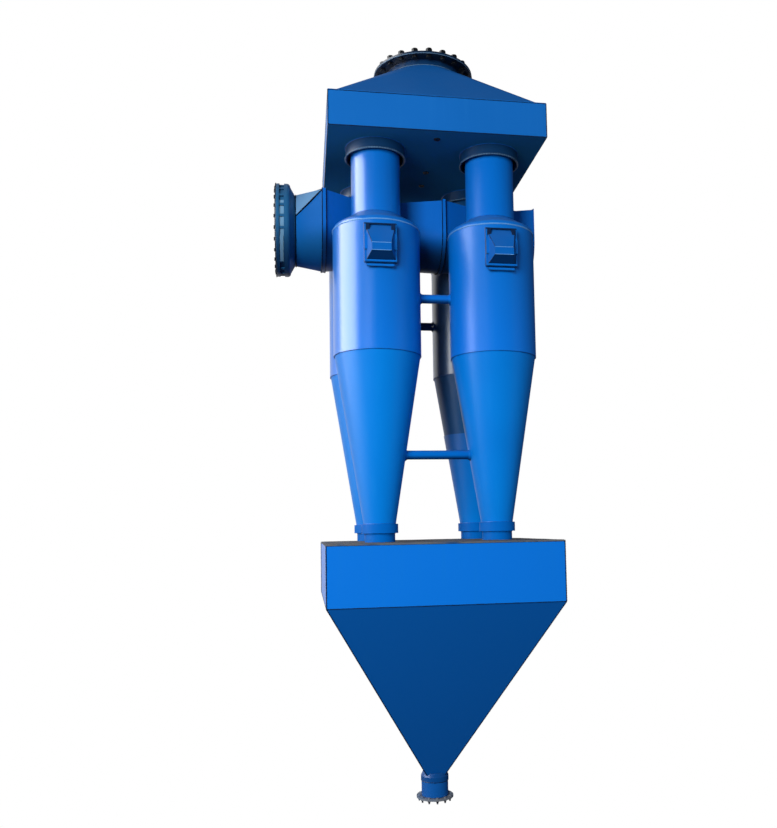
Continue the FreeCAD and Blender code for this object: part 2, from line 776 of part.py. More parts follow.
def roof(name, sign_x, sign_y, port):
    """Sloped roof of a barrel with a rounded knuckle, open where the header enters."""
    radius = size("barrel_radius")
    wall = size("roof_wall")
    inner_radius = f"({radius} - {wall})"
    inner_corner = f"({ROOF_CORNER} - {wall} * {KNUCKLE_RATIO})"
    inner_knuckle = f"({size('roof_knuckle')} - {wall})"
    start, end = knuckle(radius, ROOF_CORNER, size("roof_knuckle"))
    inner_start, inner_end = knuckle(inner_radius, inner_corner, inner_knuckle)
    body = turned(f"roof_body_{name}", (
        (radius, RIM),
        start,
        end,
        (PIPE_HOLE, f"{ROOF_CORNER} + ({radius} - {PIPE_HOLE}) * tan({ROOF_ANGLE})"),
        (PIPE_HOLE, f"{inner_corner} + ({inner_radius} - {PIPE_HOLE}) * tan({ROOF_ANGLE})"),
        inner_end,
        inner_start,
        (inner_radius, RIM),
    ), ((1, size("roof_knuckle"), False), (5, inner_knuckle, True)))
    cyclone_place(body, sign_x, sign_y)
    keep(cut(f"roof_{name}", body, port), f"roof_{name}")


def knuckle(radius, corner, bend):
    """Ends of the arc between the upright side of a roof and its slope."""
    reach = f"({bend} * {KNUCKLE_RATIO})"
    return ((radius, f"{corner} - {reach}"),
            (f"{radius} - {reach} * cos({ROOF_ANGLE})", f"{corner} + {reach} * sin({ROOF_ANGLE})"))


def outlet_pipe(name, sign_x, sign_y):
    """Outlet pipe from inside the barrel up through the plenum floor, and its sleeve collar."""
    foot = f"{RIM} - {size('pipe_depth')}"
    length = f"({FLOOR_TOP} + {size('pipe_stand_up')} - ({foot}))"
    pipe = tube(f"pipe_{name}", size("pipe_radius"), size("pipe_wall"), "0", length)
    keep(cyclone_place(pipe, sign_x, sign_y, foot), f"outlet_pipe_{name}")

    outer = size("sleeve_radius")
    inner = f"{outer} - {size('sleeve_wall')}"
    bottom = f"{FLOOR} - {size('sleeve_height')}"
    bead = size("sleeve_bead")
    sleeve = turned(f"sleeve_{name}", (
        (inner, bottom),
        (f"{outer} + {bead}", bottom),
        (f"{outer} + {bead}", f"{bottom} + 2 * {bead}"),
        (outer, f"{bottom} + 3 * {bead}"),
        (outer, FLOOR),
        (inner, FLOOR),
    ))
    keep(cyclone_place(sleeve, sign_x, sign_y), f"sleeve_collar_{name}")


def hand_hole_cover(name, sign_x, sign_y):
    """Sheet cover on the curb: flat plate with a hollow truncated pyramid that stands out."""
    face = f"({size('barrel_radius')} + {size('curb_stand_off')} + {size('slip_gap')})"
    middle = f"({RIM} - {size('curb_top_drop')} - {size('curb_height')} / 2)"
    foot = f"({middle} - {size('hand_plate_height')} / 2)"
    plate = primitive("Part::Box", f"hand_plate_{name}", Length=size("hand_plate_width"),
                      Width=size("hand_plate_thickness"), Height=size("hand_plate_height"))
    place(plate, f"-{size('hand_plate_width')} / 2", face, foot)

    def wedge(label, inset, start):
        base = f"({size('hand_base_width')} / 2 - {inset})"
        front = f"({size('hand_face_width')} / 2 - {inset})"
        low = f"({foot} + {size('hand_base_bottom')} + {inset})"
        high = f"({foot} + {size('hand_plate_height')} - {size('hand_base_top')} - {inset})"
        face_low = f"({foot} + {size('hand_face_bottom')} + {inset} / 2)"
        face_high = f"({foot} + {size('hand_face_bottom')} + {size('hand_face_height')} - {inset} / 2)"
        return primitive("Part::Wedge", f"{label}_{name}", Xmin=f"-{base}", Xmax=base, Zmin=low, Zmax=high,
                         Ymin=start, Ymax=f"{face} + {size('hand_plate_thickness')} + "
                         f"{size('hand_depth')} - {inset}",
                         X2min=f"-{front}", X2max=front, Z2min=face_low, Z2max=face_high)

    outside = wedge("hand_outside", "0", f"{face} + {size('hand_plate_thickness')}")
    inside = wedge("hand_inside", size("hand_sheet"), face)
    cover = cut(f"hand_cover_{name}", fuse(f"hand_solid_{name}", plate, outside), inside)
    if sign_y < 0:
        cover.Placement = Placement(Vector(), Rotation(Vector(0, 0, 1), 180))
    keep(cyclone_place(cover, sign_x, sign_y), f"hand_hole_cover_{name}")


# Plenum, hood and outlet

def plenum():
    """Floor with pipe holes, wall box, ledge plate and hood scribed round the outlet neck."""
    width = size("plenum_width")
    plate = size("plenum_plate")
    blank = block("floor_blank", width, width, plate, FLOOR)
    holes = []
    for name, sign_x, sign_y in CYCLONES:
        hole = cylinder(f"floor_hole_{name}", PIPE_HOLE, plate)
        holes.append(cyclone_place(hole, sign_x, sign_y, FLOOR))
    for where, sign in (("front", -1), ("middle", -1), ("back", 1)):
        distance = f"{sign} * {size('pilot_hole_' + where)}"
        holes.append(cylinder(f"pilot_hole_{where}", size("pilot_hole_radius"), plate, FLOOR, "0", distance))
    keep(cut("plenum_bottom", blank, fuse("floor_holes", *holes)), "plenum_floor")

    height = f"{WALL_TOP} - {FLOOR_TOP}"
    box = block("plenum_outside", width, width, height, FLOOR_TOP)
    room = f"{width} - 2 * {plate}"
    space = block("plenum_inside", room, room, height, FLOOR_TOP)
    keep(cut("plenum_box", box, space), "plenum_walls")

    sheet_blank = block("ledge_blank", width, width, plate, WALL_TOP)
    opening = f"{width} - 2 * {size('ledge_width')}"
    window = block("ledge_window", opening, opening, plate, WALL_TOP)
    keep(cut("ledge", sheet_blank, window), "plenum_ledge")


def square_section(height, half, corner):
    """Closed square across Z with its corners cut off, long and short edges in turn from the +Y side."""
    reach = half - corner
    points = [Vector(along, across, height) for along, across in (
        (-reach, half), (reach, half), (half, reach), (half, -reach),
        (reach, -half), (-reach, -half), (-half, -reach), (-half, reach))]
    return Part.makePolygon(points + points[:1])


def ring_section(height, radius, tip):
    """Closed round section across Z with short flats where the square has its long edges."""
    def point(degrees, reach):
        turn = math.radians(degrees)
        return Vector(radius * reach * math.sin(turn), radius * reach * math.cos(turn), height)

    stops = []
    for side in range(4):
        stops += [90 * side - tip, 90 * side + tip]
    return Part.Wire(arcs_between(stops + [360 - tip], point, 2 * tip))


def hood():
    """Skirt and square-to-round sheet above the ledge: four flat sides, conical corners, open for the neck."""
    half = value(f"{size('plenum_width')} / 2 - {size('hood_setback')}")
    wall = value(size("hood_sheet"))
    corner = value(size("hood_fold_edge"))
    tip = value(size("hood_tip_angle"))
    foot = value(LEDGE_TOP)
    fold = value(HOOD_FOLD)
    top = foot + value(size("hood_height"))
    hole = value(f"{size('neck_radius')} + {size('slip_gap')}")
    crown = hole + wall
    pitch = (top - fold) / (half - crown)
    across = wall * math.sqrt(1 + 1 / pitch ** 2)
    drop = (across - wall) * pitch

    def form(side, bend, end):
        skirt = Part.Face(square_section(foot, side, corner)).extrude(Vector(0, 0, bend - foot))
        slopes = Part.makeLoft([square_section(bend, side, corner), ring_section(top, end, tip)], True, True)
        return skirt.fuse(slopes).removeSplitter()

    shell = form(half, fold, crown).cut(form(half - wall, fold - drop, crown - across))
    neck_hole = Part.makeCylinder(hole, top - foot, Vector(0, 0, foot))
    shape_node("plenum_hood", shell.cut(neck_hole))


def outlet():
    """Round neck, drilled flange and the ring of bolts that stand up from it."""
    radius = size("neck_radius")
    neck = tube("outlet_neck_tube", radius, size("neck_wall"), f"{OUTLET_TOP} - {size('neck_height')}",
                OUTLET_TOP)
    keep(neck, "outlet_neck")

    thickness = size("outlet_flange_thickness")
    flange = doc.addObject("PartDesign::Body", "top_flange")
    ring = sketch_on(flange, "top_flange_ring", "XY_Plane")
    draw_circle(ring, size("outlet_flange_radius"))
    draw_circle(ring, f"{radius} + {size('slip_gap')}")
    padded(flange, ring, thickness)
    doc.recompute()
    drill_ring(flange, thickness, f"{size('outlet_bolt_radius')} + {size('bolt_play')}",
               size("outlet_bolt_ring_radius"), size("outlet_bolt_count"))
    place(flange, z=f"{OUTLET_TOP} - {thickness}")
    keep(flange, "outlet_flange")

    bolts = bolt_ring("top_bolts", size("outlet_bolt_ring_radius"), size("outlet_bolt_count"),
                      size("outlet_bolt_radius"), size("outlet_head_radius"), size("outlet_head_height"),
                      f"{thickness} + {size('outlet_bolt_end')}")
    place(bolts, z=f"{OUTLET_TOP} - {thickness}")
    keep(bolts, "outlet_bolts")


# Inlet

def inlet():
    """Counter flange with rim bars, spacer ring, flange with conical hub, and the bolts across them."""
    bore = f"({size('inlet_radius')} - {size('inlet_wall')})"
    counter_inner = f"({INLET_FLANGE} + {size('inlet_gap')})"
    counter_outer = f"({counter_inner} + {size('counter_flange_thickness')})"
    hole = f"{size('inlet_bolt_radius')} + {size('bolt_play')}"
    seat = f"({INLET_FLANGE} - {size('inlet_bolt_reach')})"
    rim = size("inlet_flange_radius")

    hub_bend = size("inlet_hub_bend")
    hub = turned("inlet_hub", (
        (bore, INLET_NECK),
        (size("inlet_radius"), INLET_NECK),
        (size("inlet_radius"), INLET_HUB_FOOT),
        (f"{rim} - {hub_bend}", f"{INLET_RIM} - {hub_bend}"),
        (rim, INLET_RIM),
        (rim, INLET_FLANGE),
        (bore, INLET_FLANGE),
    ), ((3, hub_bend, False),))
    doc.recompute()
    holes = sketch_on(hub, "inlet_hub_hole", "XY_Plane")
    holes.setExpression("AttachmentOffset.Base.z", seat)
    draw_circle(holes, hole, size("inlet_bolt_ring_radius"))
    pocket = hub.newObject("PartDesign::Pocket", "inlet_hub_pocket")
    pocket.Profile = holes
    pocket.setExpression("Length", size("inlet_bolt_reach"))
    pocket.Reversed = True
    around(hub, [pocket], holes, size("inlet_bolt_count"))
    keep(toward_inlet(hub), "inlet_flange")

    spacer = tube("inlet_spacer", f"{bore} + {size('inlet_spacer_wall')}", size("inlet_spacer_wall"),
                  INLET_FLANGE, counter_inner)
    keep(toward_inlet(spacer), "inlet_spacer_ring")

    thickness = size("counter_flange_thickness")
    bend = size("counter_flange_bend")
    counter = turned("counter_flange", (
        (bore, "0"),
        (rim, "0"),
        (rim, f"{thickness} - {bend}"),
        (f"{rim} - {bend}", thickness),
        (bore, thickness),
    ), ((2, bend, False),))
    doc.recompute()
    bar = sketch_on(counter, "rim_bar", "XY_Plane")
    high = f"{rim} - {size('rim_bar_inset')}"
    low = f"{high} - {size('rim_bar_thickness')}"
    side = f"{size('rim_bar_width')} / 2"
    draw_profile(bar, ((low, f"-{side}"), (high, f"-{side}"), (high, side), (low, side)))
    bar_pad = padded(counter, bar, f"{size('inlet_gap')} - {size('slip_gap')}", reversed_way=True)
    around(counter, [bar_pad], bar, size("inlet_bolt_count"))
    doc.recompute()
    drill_ring(counter, thickness, hole, size("inlet_bolt_ring_radius"), size("inlet_bolt_count"))
    toward_inlet(counter)
    counter.setExpression("Placement.Base.x", f"-{counter_inner}")
    keep(counter, "inlet_counter_flange")

    length = f"({counter_outer} - {seat} - {size('slip_gap')})"
    bolts = bolt_ring("inlet_bolt_set", size("inlet_bolt_ring_radius"), size("inlet_bolt_count"),
                      size("inlet_bolt_radius"), size("inlet_head_radius"), size("inlet_head_height"), length)
    bolts.Placement = Placement(Vector(), Rotation(Vector(0, 1, 0), 90))
    place(bolts, x=f"-{counter_outer}", z=INLET_AXIS)
    keep(bolts, "inlet_bolts")


def transition():
    """Duct from the round inlet neck to the header's trough section, with two upper corner facets."""
    wall = value(size("header_wall"))
    radius = value(size("inlet_radius"))
    axis = value(INLET_AXIS)
    tip = value(size("facet_tip_width"))
    angles = value(size("facet_tip_angle")), value(size("facet_angle"))
    neck = -value(INLET_NECK) + value(size("slip_gap"))
    mouth = -value(HEADER_MOUTH)
    joint = mouth + value(size("seam_width")) / 2 - value(size("slip_gap"))
    half = value(size("header_mouth_half"))

    def duct(offset):
        levels = header_levels(offset)
        taper = Part.makeLoft([round_section(neck, radius + offset, axis, *angles),
                               trough_section(mouth, half + offset, *levels, tip)], True, True)
        lap = header_solid([(mouth, half), (joint, half)], offset)
        return taper.fuse(lap).removeSplitter()

    shape_node("inlet_transition", duct(0).cut(duct(-wall)))


# Bracing

def tie(label, drop_from, drop, sign_y, ends):
    """Round tie pipe along X with flared ends, scribed to the pieces that it joins."""
    length = f"({size('cyclone_spacing')} - 2 * {drop_from})"
    radius = size("tie_radius")
    flare = f"({radius} + {size('tie_flare')})"
    run = size("tie_flare_length")
    body = turned(f"{label}_body", (
        (f"{radius} - {size('tie_wall')}", run),
        (flare, run),
        (radius, f"2 * {run}"),
        (radius, length),
        (flare, f"{length} + {run}"),
        (f"{radius} - {size('tie_wall')}", f"{length} + {run}"),
    ))
    body.Placement = Placement(Vector(), Rotation(Vector(0, 1, 0), 90))
    place(body, f"-{length} / 2 - {run}", f"{sign_y} * {HALF_SPACING}", drop)
    keep(cut(label, body, fuse(f"{label}_scribe", *ends)), label)


def bracing():
    """Upper ties between the barrels, lower tie between the front cones, band on one cone."""
    gap = size("slip_gap")
    height = f"({RIM} - {size('upper_tie_drop')})"
    for where, sign_y in (("front", -1), ("back", 1)):
        ends = []
        for side, sign_x in (("left", -1), ("right", 1)):
            end = cylinder(f"upper_scribe_{where}_{side}", f"{size('barrel_radius')} + {gap}",
                           size("barrel_height"))
            ends.append(cyclone_place(end, sign_x, sign_y, CONE_TOP))
        reach = f"({size('barrel_radius')} - {size('upper_tie_sink')})"
        tie(f"upper_tie_{where}", reach, height, sign_y, ends)

    low = f"({CONE_FOOT} + {size('lower_tie_rise')})"
    ends = []
    for side, sign_x in (("left", -1), ("right", 1)):
        end = cone_solid(f"lower_scribe_{side}", f"(-{gap})")
        ends.append(cyclone_place(end, sign_x, -1, CONE_FOOT))
    reach = f"({size('cone_foot_radius')} + {CONE_TAPER} * {size('lower_tie_rise')} - {size('lower_tie_sink')})"
    tie("lower_tie_front", reach, low, -1, ends)

    def skin(height_above, out):
        radius = f"{size('cone_foot_radius')} + {CONE_TAPER} * ({height_above}) + {gap} + {out}"
        return radius, f"{CONE_FOOT} + {height_above}"

    bottom = size("band_rise")
    top = f"{size('band_rise')} + {size('band_height')}"
    band = turned("cone_band", (skin(bottom, "0"), skin(bottom, size("band_thickness")),
                                skin(top, size("band_thickness")), skin(top, "0")))
    keep(cyclone_place(band, 1, 1), "cone_band_back_right")


def build():
    """Make every sub-part of the group."""
    dust_outlet()
    hopper()
    port = header_bore()
    for name, sign_x, sign_y in CYCLONES:
        dust_legs(name, sign_x, sign_y)
        cone(name, sign_x, sign_y)
        barrel(name, sign_x, sign_y, port)
        roof(name, sign_x, sign_y, port)
        outlet_pipe(name, sign_x, sign_y)
        hand_hole_cover(name, sign_x, sign_y)
    header()
    plenum()
    hood()
    outlet()
    inlet()
    transition()
    bracing()
    doc.recompute()


def write():
    """Check every object and write one file for each sub-part."""
    for obj in doc.Objects:
        if "Invalid" in obj.State or "Error" in obj.State:
            raise RuntimeError(f"{obj.Label} did not compute: {obj.State}")
    for node in NODES:
        if node.Shape.isNull() or not node.Shape.isValid() or not node.Shape.Solids:
            raise RuntimeError(f"{node.Label} has no valid solid")
    os.makedirs("parts", exist_ok=True)
    for node in NODES:
        node.Shape.exportStep(f"parts/{node.Label}.step")
        box = node.Shape.BoundBox
        print(f"{node.Label}: {len(node.Shape.Solids)} solid(s), volume {node.Shape.Volume:.0f}, "
              f"x {box.XMin:.0f}..{box.XMax:.0f} y {box.YMin:.0f}..{box.YMax:.0f} "
              f"z {box.ZMin:.0f}..{box.ZMax:.0f}")


build()
write()
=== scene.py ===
"""Looks for a cyclone dust separator: four cyclones between a dust hopper and a clean gas plenum.

The solids come from the frame. This script gives each of them its finish and adds the welds, nuts, threads,
washers, clips and settled dust that the solids leave out, and pale and dark strips that paint highlights,
shadow lines and a sky reflection.
"""

import json
import logging
import math
from collections.abc import Callable, Iterable, Sequence
from dataclasses import dataclass, field
from enum import Enum

import bmesh
import bpy
from mathutils import Matrix, Vector, noise

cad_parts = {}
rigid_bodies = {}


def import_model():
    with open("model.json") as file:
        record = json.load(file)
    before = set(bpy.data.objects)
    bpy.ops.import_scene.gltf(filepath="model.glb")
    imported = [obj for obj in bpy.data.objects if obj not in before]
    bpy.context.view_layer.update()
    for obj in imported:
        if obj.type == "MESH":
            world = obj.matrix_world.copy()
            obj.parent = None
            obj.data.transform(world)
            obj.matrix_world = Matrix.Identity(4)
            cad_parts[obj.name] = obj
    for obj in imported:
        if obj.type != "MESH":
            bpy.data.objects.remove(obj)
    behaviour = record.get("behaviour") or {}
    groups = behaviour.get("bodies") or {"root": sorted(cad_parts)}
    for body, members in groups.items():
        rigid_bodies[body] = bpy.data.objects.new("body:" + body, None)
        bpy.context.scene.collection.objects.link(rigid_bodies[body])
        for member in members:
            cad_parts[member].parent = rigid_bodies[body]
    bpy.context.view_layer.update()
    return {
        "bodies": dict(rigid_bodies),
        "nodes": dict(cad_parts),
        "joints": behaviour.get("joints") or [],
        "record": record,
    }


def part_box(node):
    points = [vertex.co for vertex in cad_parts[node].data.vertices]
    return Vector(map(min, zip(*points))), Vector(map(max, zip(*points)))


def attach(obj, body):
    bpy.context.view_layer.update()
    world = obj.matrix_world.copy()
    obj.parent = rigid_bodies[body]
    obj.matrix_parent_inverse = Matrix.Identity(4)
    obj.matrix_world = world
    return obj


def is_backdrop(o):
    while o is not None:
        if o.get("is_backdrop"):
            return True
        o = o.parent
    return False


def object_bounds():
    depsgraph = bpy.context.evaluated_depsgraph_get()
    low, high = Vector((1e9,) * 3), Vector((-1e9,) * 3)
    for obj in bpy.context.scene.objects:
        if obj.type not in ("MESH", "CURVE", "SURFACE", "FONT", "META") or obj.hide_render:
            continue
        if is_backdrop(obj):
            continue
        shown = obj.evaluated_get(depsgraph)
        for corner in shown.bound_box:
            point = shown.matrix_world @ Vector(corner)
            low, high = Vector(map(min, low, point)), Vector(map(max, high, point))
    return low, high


LOG = logging.getLogger("separator")
BODY = "root"
PHOTO_WIDTH = 777
PHOTO_HEIGHT = 828

Colour = tuple[float, float, float]


class Slot(Enum):
    """Material slots of the record."""

    BLUE = "blue_paint"
    DARK = "dark_blue_paint"
    STEEL = "bolt_steel"
    DUSTY = "dusty_plate"


class Corner(Enum):
    """The four cyclones, with the signs of their places along X and Y."""

    FRONT_LEFT = ("front_left", -1, -1)
    FRONT_RIGHT = ("front_right", 1, -1)
    BACK_LEFT = ("back_left", -1, 1)
    BACK_RIGHT = ("back_right", 1, 1)


# Heights over which the tone turns brighter and more cyan towards the bottom.
LOWER_TONE_HEIGHTS = (3.85, 2.9)
# Heights and facing of the painted shade on the faces between the cyclones.
SHADE_BETWEEN_HEIGHTS = (2.42, 2.62)
SHADE_BETWEEN_TURN = (-0.06, -0.20)


class Value:
    """One output of a shader graph, with arithmetic that adds Math nodes."""

    def __init__(self, graph: "Graph", socket: bpy.types.NodeSocket) -> None:
        """Keep the graph and the socket that the value comes from."""
        self.graph = graph
        self.socket = socket

    def _math(self, operation: str, first: "Value | float", second: "Value | float") -> "Value":
        """Add one Math node with two inputs."""
        return self.graph.node("ShaderNodeMath", {"operation": operation}, {0: first, 1: second})

    def __add__(self, other: "Value | float") -> "Value":
        """Sum of two values."""
        return self._math("ADD", self, other)

    def __radd__(self, other: float) -> "Value":
        """Sum with the number first."""
        return self._math("ADD", other, self)

    def __sub__(self, other: "Value | float") -> "Value":
        """Difference of two values."""
        return self._math("SUBTRACT", self, other)

    def __rsub__(self, other: float) -> "Value":
        """Difference with the number first."""
        return self._math("SUBTRACT", other, self)

    def __mul__(self, other: "Value | float") -> "Value":
        """Product of two values."""
        return self._math("MULTIPLY", self, other)

    def __rmul__(self, other: float) -> "Value":
        """Product with the number first."""
        return self._math("MULTIPLY", other, self)

    def between(self, low: float, high: float) -> "Value":
        """Ease from 0 to 1 while the value goes from one limit to the other.

        Args:
            low: the value that gives 0.
            high: the value that gives 1.

        Returns:
            The eased value.
        """
        return self.graph.node(
            "ShaderNodeMapRange",
            {"interpolation_type": "SMOOTHSTEP"},
            {"Value": self, "From Min": low, "From Max": high},
        )


class Graph:
    """A shader node tree that is filled by expressions."""

    def __init__(self, tree: bpy.types.NodeTree) -> None:
        """Start from an empty tree."""
        self.tree = tree
        self.tree.nodes.clear()

    def node(
        self,
        kind: str,
        settings: dict[str, object] | None = None,
        inputs: dict[int | str, object] | None = None,
        output: int | str = 0,
    ) -> Value | None:
        """Add any node.

        Args:
            kind: Blender's name of the node's type.
            settings: properties of the node, set before its sockets. The key "stops" fills a colour ramp.
            inputs: numbers, colours or values for the sockets, by number or name.
            output: number or name of the output that is wanted.

        Returns:
            The output as a value, or None from a node without outputs.
        """
        made = self.tree.nodes.new(kind)
        for name, setting in (settings or {}).items():
            if name == "stops":
                self._fill_ramp(made.color_ramp, setting)
            else:
                setattr(made, name, setting)
        for name, item in (inputs or {}).items():
            self._feed(made.inputs[name], item)
        return Value(self, made.outputs[output]) if made.outputs else None

    def _fill_ramp(self, ramp: bpy.types.ColorRamp, stops: Sequence[tuple[float, Colour]]) -> None:
        """Set the stops of a colour ramp."""
        for index, (position, colour) in enumerate(stops):
            stop = ramp.elements[index] if index < len(ramp.elements) else ramp.elements.new(position)
            stop.position = position
            stop.color = (*colour, 1.0)

    def _feed(self, socket: bpy.types.NodeSocket, item: object) -> None:
        """Link a value to a socket, or set the socket to a number or colour."""
        if isinstance(item, Value):
            self.tree.links.new(item.socket, socket)
        elif socket.type == "RGBA":
            socket.default_value = (*item, 1.0)
        else:
            socket.default_value = item

    def place(self) -> Value:
        """Position on the object, in metres."""
        return self.node("ShaderNodeTexCoord", output="Object")

    def part_of(self, vector: Value, axis: str) -> Value:
        """One component of a vector."""
        return self.node("ShaderNodeSeparateXYZ", inputs={0: vector}, output=axis)

    def facing_up(self) -> Value:
        """Upward component of the surface's direction, from -1 to 1."""
        normal = self.node("ShaderNodeNewGeometry", output="Normal")
        return self.part_of(normal, "Z")

    def shade_between_mask(self, place: Value) -> Value:
        """Mask of the painted shade on the faces between the cyclones, above the lower brace.

        Args:
            place: position on the object.

        Returns:
            1 on faces that look at the group's middle and 0 on its outside.
        """
        normal = self.node("ShaderNodeNewGeometry", output="Normal")
        aside = self.part_of(normal, "X") * self.part_of(place, "X")
        ahead = self.part_of(normal, "Y") * self.part_of(place, "Y")
        return (aside + ahead).between(*SHADE_BETWEEN_TURN) * self.part_of(place, "Z").between(*SHADE_BETWEEN_HEIGHTS)

    def stretched(self, vector: Value, scale: Colour) -> Value:
        """A vector scaled along each axis."""
        return self.node("ShaderNodeVectorMath", {"operation": "MULTIPLY"}, {0: vector, 1: scale})

    def cloud(self, vector: Value, scale: float, detail: float = 3.0) -> Value:
        """Smooth noise from 0 to 1."""
        return self.node("ShaderNodeTexNoise", inputs={"Vector": vector, "Scale": scale, "Detail": detail})

    def blend(self, factor: Value | float, first: Value | Colour, second: Value | Colour) -> Value:
        """Mix two colours.

        Args:
            factor: 0 gives the first colour and 1 the second.
            first: the colour at 0.
            second: the colour at 1.

        Returns:
            The mixed colour.
        """
        return self.node("ShaderNodeMix", {"data_type": "RGBA"}, {0: factor, 6: first, 7: second}, output=2)

    def bump(self, height: Value, strength: float, distance: float) -> Value:
        """Surface direction changed by a height."""
        inputs = {"Strength": strength, "Distance": distance, "Height": height}
        return self.node("ShaderNodeBump", inputs=inputs)


@dataclass(frozen=True)
class Finish:
    """Common part of the finishes: each builds its material once."""

    name: str

    def shade(self, graph: Graph) -> Value:
        """Build the shader of the finish."""
        raise NotImplementedError

    def material(self) -> bpy.types.Material:
        """The finish as a material, made when it is first asked for."""
        known = bpy.data.materials.get(self.name)
        if known:
            return known
        made = bpy.data.materials.new(self.name)
        made.use_nodes = True
        graph = Graph(made.node_tree)
        graph.node("ShaderNodeOutputMaterial", inputs={"Surface": self.shade(graph)})
        return made


@dataclass(frozen=True)
class Enamel(Finish):
    """Gloss enamel on sheet steel, with faded patches, water runs and settled dust, painted shade on its
    undersides and between the cyclones, and a tone that brightens towards the bottom.
    """

    tone: Colour
    deep: Colour
    faded: Colour
    under: Colour
    lower_tone: Colour = (0.0008, 0.182, 0.76)
    lower_tone_share: float = 0.0
    dust: Colour = (0.10, 0.14, 0.20)
    mottle: float = 0.6
    runs: float = 0.16
    settled: float = 0.3
    roughness: float = 0.30
    gloss: float = 0.45
    coat: float = 0.25
    wave: float = 0.12
    shade_between: float = 0.0
    shade_between_colour: Colour = (0.006, 0.042, 0.100)
    coat_roughness: float = 0.22

    def shade(self, graph: Graph) -> Value:
        """Build the enamel's shader.

        Args:
            graph: the tree to fill.

        Returns:
            The shader.
        """
        place = graph.place()
        upward = graph.facing_up()
        patch = graph.cloud(place, 1.1, 2.0).between(0.32, 0.72) * self.mottle
        streaks = graph.stretched(place, (11.0, 11.0, 0.5))
        water = graph.cloud(streaks, 2.4, 4.0).between(0.5, 0.8) * self.runs
        grain = graph.cloud(place, 55.0, 5.0)
        dust_cloud = graph.cloud(place, 5.0, 6.0).between(0.25, 0.7)
        settled = upward.between(0.3, 0.98) * dust_cloud * self.settled
        # Painted shade: faces that look down take the darker under colour.
        shaded_below = upward.between(-0.05, -0.85)
        # Brighter, more cyan tone towards the bottom.
        lower = graph.part_of(place, "Z").between(*LOWER_TONE_HEIGHTS) * self.lower_tone_share
        colour = graph.blend(patch, self.tone, self.deep)
        colour = graph.blend(lower, colour, self.lower_tone)
        colour = graph.blend(water, colour, self.faded)
        # Painted shade: faces between the cyclones that look at the group's middle turn darker.
        if self.shade_between:
            colour = graph.blend(graph.shade_between_mask(place) * self.shade_between, colour, self.shade_between_colour)
        colour = graph.blend(shaded_below, colour, self.under)
        colour = graph.blend(settled, colour, self.dust)
        roughness = settled * 0.5 + grain * 0.10 + water * 0.4 + (self.roughness - 0.05)
        sheet = graph.cloud(place, 2.6, 1.0)
        peel = graph.cloud(place, 260.0, 2.0)
        height = sheet * self.wave + peel * 0.004 + grain * 0.004
        return graph.node(
            "ShaderNodeBsdfPrincipled",
            inputs={
                "Base Color": colour,
                "Roughness": roughness,
                "Specular IOR Level": self.gloss,
                "Coat Weight": self.coat,
                "Coat Roughness": self.coat_roughness,
                "Normal": graph.bump(height, 0.35, 0.02),
            },
        )


@dataclass(frozen=True)
class BlackSteel(Finish):
    """Blackened bolt steel with thin rust in patches."""

    tone: Colour = (0.012, 0.014, 0.018)
    rust: Colour = (0.034, 0.027, 0.025)
    amount: float = 0.2

    def shade(self, graph: Graph) -> Value:
        """Build the steel's shader."""
        place = graph.place()
        rust = graph.cloud(place, 38.0, 5.0).between(0.52, 0.72) * self.amount
        scratch = graph.cloud(place, 240.0, 3.0)
        colour = graph.blend(rust, graph.blend(scratch, self.tone, (0.030, 0.034, 0.042)), self.rust)
        return graph.node(
            "ShaderNodeBsdfPrincipled",
            inputs={
                "Base Color": colour,
                "Roughness": rust * 0.35 + scratch * 0.2 + 0.34,
                "Metallic": 0.75 - rust,
                "Normal": graph.bump(scratch + rust, 0.25, 0.001),
            },
        )


@dataclass(frozen=True)
class Dusted(Finish):
    """Painted plate that lies under a coat of grey-brown dust."""

    paint: Colour = (0.035, 0.075, 0.16)
    dust: Colour = (0.115, 0.122, 0.135)
    earth: Colour = (0.105, 0.082, 0.062)
    cover: float = 0.9

    def shade(self, graph: Graph) -> Value:
        """Build the dusty plate's shader."""
        place = graph.place()
        heap = graph.cloud(place, 7.0, 7.0)
        fine = graph.cloud(place, 130.0, 4.0)
        brown = graph.cloud(place, 3.1, 5.0).between(0.42, 0.68)
        layer = graph.blend(brown, self.dust, self.earth)
        layer = graph.blend(fine * 0.45, layer, (0.20, 0.20, 0.20))
        covered = heap.between(0.28, 0.52) * self.cover
        return graph.node(
            "ShaderNodeBsdfPrincipled",
            inputs={
                "Base Color": graph.blend(covered, self.paint, layer),
                "Roughness": covered * 0.5 + 0.42,
                "Specular IOR Level": 0.3,
                "Normal": graph.bump(heap * 0.6 + fine * 0.4, 0.5, 0.004),
            },
        )


@dataclass(frozen=True)
class WeldPaint(Finish):
    """Enamel over a weld bead: darker in its ripples, with a trace of soot beside it."""

    tone: Colour
    soot: Colour = (0.004, 0.012, 0.035)
    amount: float = 0.55
    gloss: float = 0.4

    def shade(self, graph: Graph) -> Value:
        """Build the painted weld's shader."""
        place = graph.place()
        soot = graph.cloud(place, 23.0, 4.0).between(0.35, 0.7) * self.amount
        grain = graph.cloud(place, 180.0, 3.0)
        return graph.node(
            "ShaderNodeBsdfPrincipled",
            inputs={
                "Base Color": graph.blend(soot, self.tone, self.soot),
                "Roughness": soot * 0.2 + grain * 0.2 + 0.28,
                "Specular IOR Level": self.gloss,
                "Normal": graph.bump(grain, 0.3, 0.001),
            },
        )
